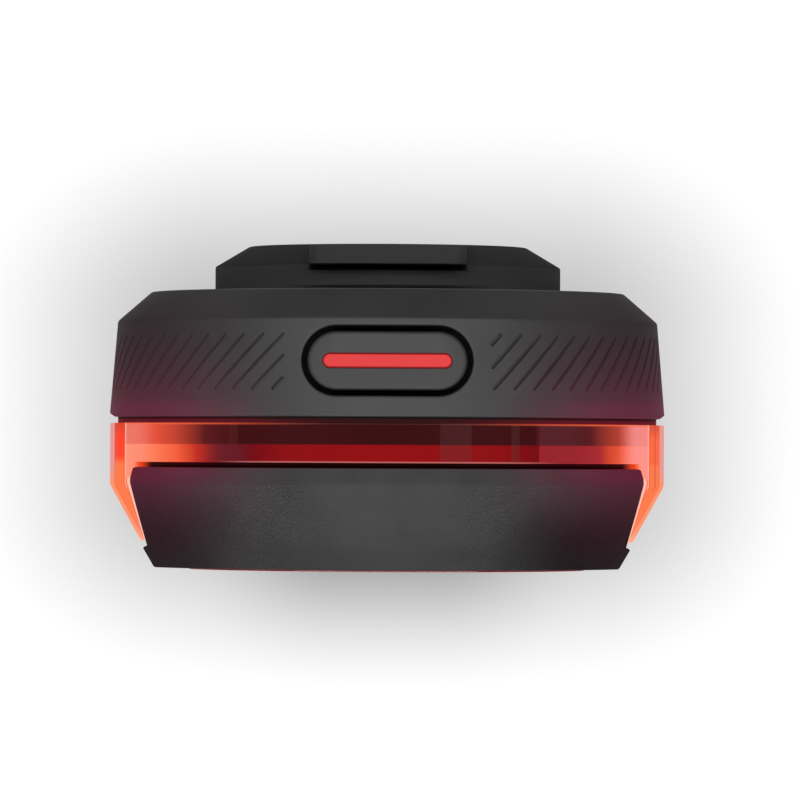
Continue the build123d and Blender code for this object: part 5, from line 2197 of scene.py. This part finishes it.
@dataclass
class BoardParts:
    """Small parts soldered on the front of the main board, above and below the radar.

    Args:
        columns: Number of parts across.
        pitch: Distance from one column to the next.
        rows: Distance of each row from the middle.
        vary: Share by which their sizes differ.
    """

    columns: int = 9
    pitch: float = 2.45
    rows: tuple[float, ...] = (19.4, 21.3, 23.2, 25.1, 37.2, 39.0)
    vary: float = 0.15

    @property
    def places(self) -> list[Vector]:
        """Where the parts stand, with gaps among them.

        Returns:
            The places.
        """
        found = []
        for end in (-1, 1):
            for j, z in enumerate(self.rows):
                for i in range(self.columns):
                    x = (i - (self.columns - 1) / 2) * self.pitch
                    if (i * 5 + j * 3 + (end > 0)) % 7 not in (2, 5) and math.hypot(x, max(0.0, z - RISE)) < 14.0:
                        found.append(Vector((x, 0, end * z)))
        return found

    def _chip(self, half: float, shift: float, height: float, draw: float = 0.0) -> Object:
        """Small block lying on the board."""
        outline = rounded_box(half, 0.30 - draw, 0.04, 2)
        return SHAPER.post("chip", outline, BOARD_FRONT, BOARD_FRONT + height, (shift, 0.0))

    def build(self, finishes: Finishes) -> list[Piece]:
        """Makes the parts' bodies and their soldered ends.

        Args:
            finishes: Every finish, by slot name.

        Returns:
            The finished pieces.
        """
        ends = SHAPER.joined(self._chip(0.14, -0.5, 0.40), self._chip(0.14, 0.5, 0.40))
        body = self._chip(0.42, 0.0, 0.37, 0.02)
        return [Copies(name, slot, part, self.places, vary=self.vary).piece(finishes)
                for name, slot, part in (("board_chips", "chip_black", body), ("board_chip_ends", "steel", ends))]


@dataclass
class Studio:
    """Floor, lamps and camera, set as the photograph was taken.

    Args:
        axis_depth: Depth that the camera looks down on.
        camera_height: Height of the camera.
        focal: Focal length of its lens.
        shift: Shift of its image, as a share of the width.
        roll: Turn of its image, in degrees.
        white: Strength of the floor as the camera sees it.
        sky: Strength of the surroundings.
    """

    axis_depth: float = 15.6
    camera_height: float = 548.0
    focal: float = 324.5
    shift: Point2 = (13.0 / 800, 53.0 / 800)
    roll: float = 0.28
    white: float = 1.12
    sky: float = 0.14

    def _placed(self, name: str, data: ID) -> Object:
        """Object for a camera or a lamp.

        Args:
            name: Name of the object.
            data: The camera or the lamp.

        Returns:
            The new object.
        """
        made = bpy.data.objects.new(name, data)
        bpy.context.scene.collection.objects.link(made)
        return made

    def camera(self) -> None:
        """Camera straight above the end of the light."""
        data = bpy.data.cameras.new("camera")
        data.lens, data.sensor_width = self.focal, 36.0
        data.shift_x, data.shift_y = self.shift
        data.clip_start, data.clip_end = 0.01, 20.0
        eye = self._placed("camera", data)
        eye.location = (0.0, -self.axis_depth * MM, self.camera_height * MM)
        eye.rotation_euler = (0.0, 0.0, math.radians(self.roll))
        bpy.context.scene.camera = eye

    def floor(self) -> None:
        """Floor with a painted pool of light round the light's foot and a soft grey painted shadow against it."""
        size = 1.5
        corners = [Vector((x, y, -STATIONS.top * MM)) for x, y in box(size, size)]
        floor = SHAPER.from_faces("floor", corners, [[0, 1, 2, 3]])
        paint = Paint("floor_white")
        side, depth = abs(paint.along("x")), paint.along("depth")
        # Painted shadow round the foot, darkest in front of it, inside a painted pool of light: white near, grey
        # further off.
        across = ((side - 14.0) * 0.84).most(0.0)
        past = ((depth - 19.0) * 1.15).most((5.5 - depth) * 1.08).most(0.0)
        away = across.distance(past)
        foot = paint.mixed(depth.ramp(16.0, 26.0) * side.ramp(17.0, 4.0), grey(0.53), grey(0.20))
        tone = paint.layered(foot, (away.ramp(0.0, 21.0), grey(1.0)), (away.ramp(43.0, 130.0), grey(0.25)))
        pale = paint.node("ShaderNodeBsdfDiffuse", None, {"Color": paint.mixed(0.14, tone, grey(0.0))})
        white = paint.node("ShaderNodeEmission", None, {"Color": tone, "Strength": self.white})
        rays = [paint.node("ShaderNodeLightPath", output=f"Is {kind} Ray")
                for kind in ("Camera", "Glossy", "Transmission")]
        seen = rays[0].most(rays[1]).most(rays[2])
        shader = paint.node("ShaderNodeMixShader", None, {0: seen * 0.8, 1: pale, 2: white})
        floor.data.materials.append(paint.output(shader))

    def lamp(self, name: str, y: float, width: float, power: float) -> None:
        """Long soft lamp above the light, its length across it.

        Args:
            name: Name of the lamp.
            y: Where it hangs, in metres.
            width: Its width, in metres.
            power: Strength, in watts.
        """
        data = bpy.data.lights.new(name, "AREA")
        data.shape, data.energy = "RECTANGLE", power
        data.size, data.size_y = 2.2, width
        lamp = self._placed(name, data)
        place, aim = Vector((0.0, y, 0.95)), Vector((0, -0.01, 0.02))
        lamp.location = place
        lamp.rotation_euler = (aim - place).to_track_quat("-Z", "Y").to_euler()

    def world(self) -> None:
        """Dim, even surroundings."""
        world = bpy.data.worlds.new("studio")
        bpy.context.scene.world = world
        world.use_nodes = True
        inputs = world.node_tree.nodes["Background"].inputs
        inputs["Color"].default_value, inputs["Strength"].default_value = (*grey(1.0), 1.0), self.sky

    def build(self) -> None:
        """Sets up the whole studio."""
        self.camera()
        self.floor()
        self.world()
        self.lamp("back_lamp", 0.30, 0.34, 7.0)
        self.lamp("front_lamp", -0.40, 0.56, 11.0)
        bpy.context.scene.view_settings.view_transform = "Standard"


@dataclass
class TailLight:
    """The whole light: its new pieces and the solids that keep their shape.

    Args:
        parts: Its sub-assemblies, in the order in which they are built.
    """

    frame: dict
    parts: tuple[type, ...] = (RearHousing, SideLens, FrontCover, FrontWindow, QuarterTurnMount, PowerButton, HubScrews,
                               PortFlap, ChargingPort, FrontLights, BoardParts)

    def dress(self, target: Object, finish: Material) -> None:
        """Gives an object one finish."""
        target.data.materials.clear()
        target.data.materials.append(finish)

    def build(self) -> None:
        """Builds, dresses and mounts every piece, and dresses every solid by its slot."""
        finishes = Palette().materials()
        for entry in self.frame["record"]["subparts"]:
            self.dress(self.frame["nodes"][entry["node"]], finishes[entry["material_slot"]])
        for part in self.parts:
            for piece in part().build(finishes):
                self.dress(piece.object, finishes[piece.slot])
                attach(piece.object, piece.body.value)
                if piece.replaces:
                    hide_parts(*piece.replaces)
                LOG.info("%s: %d faces", piece.object.name, len(piece.object.data.polygons))


def main() -> None:
    """Builds the scene."""
    logging.basicConfig(level=logging.INFO, format="%(message)s")
    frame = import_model()
    Studio().build()
    TailLight(frame).build()


if __name__ == "__main__":
    main()
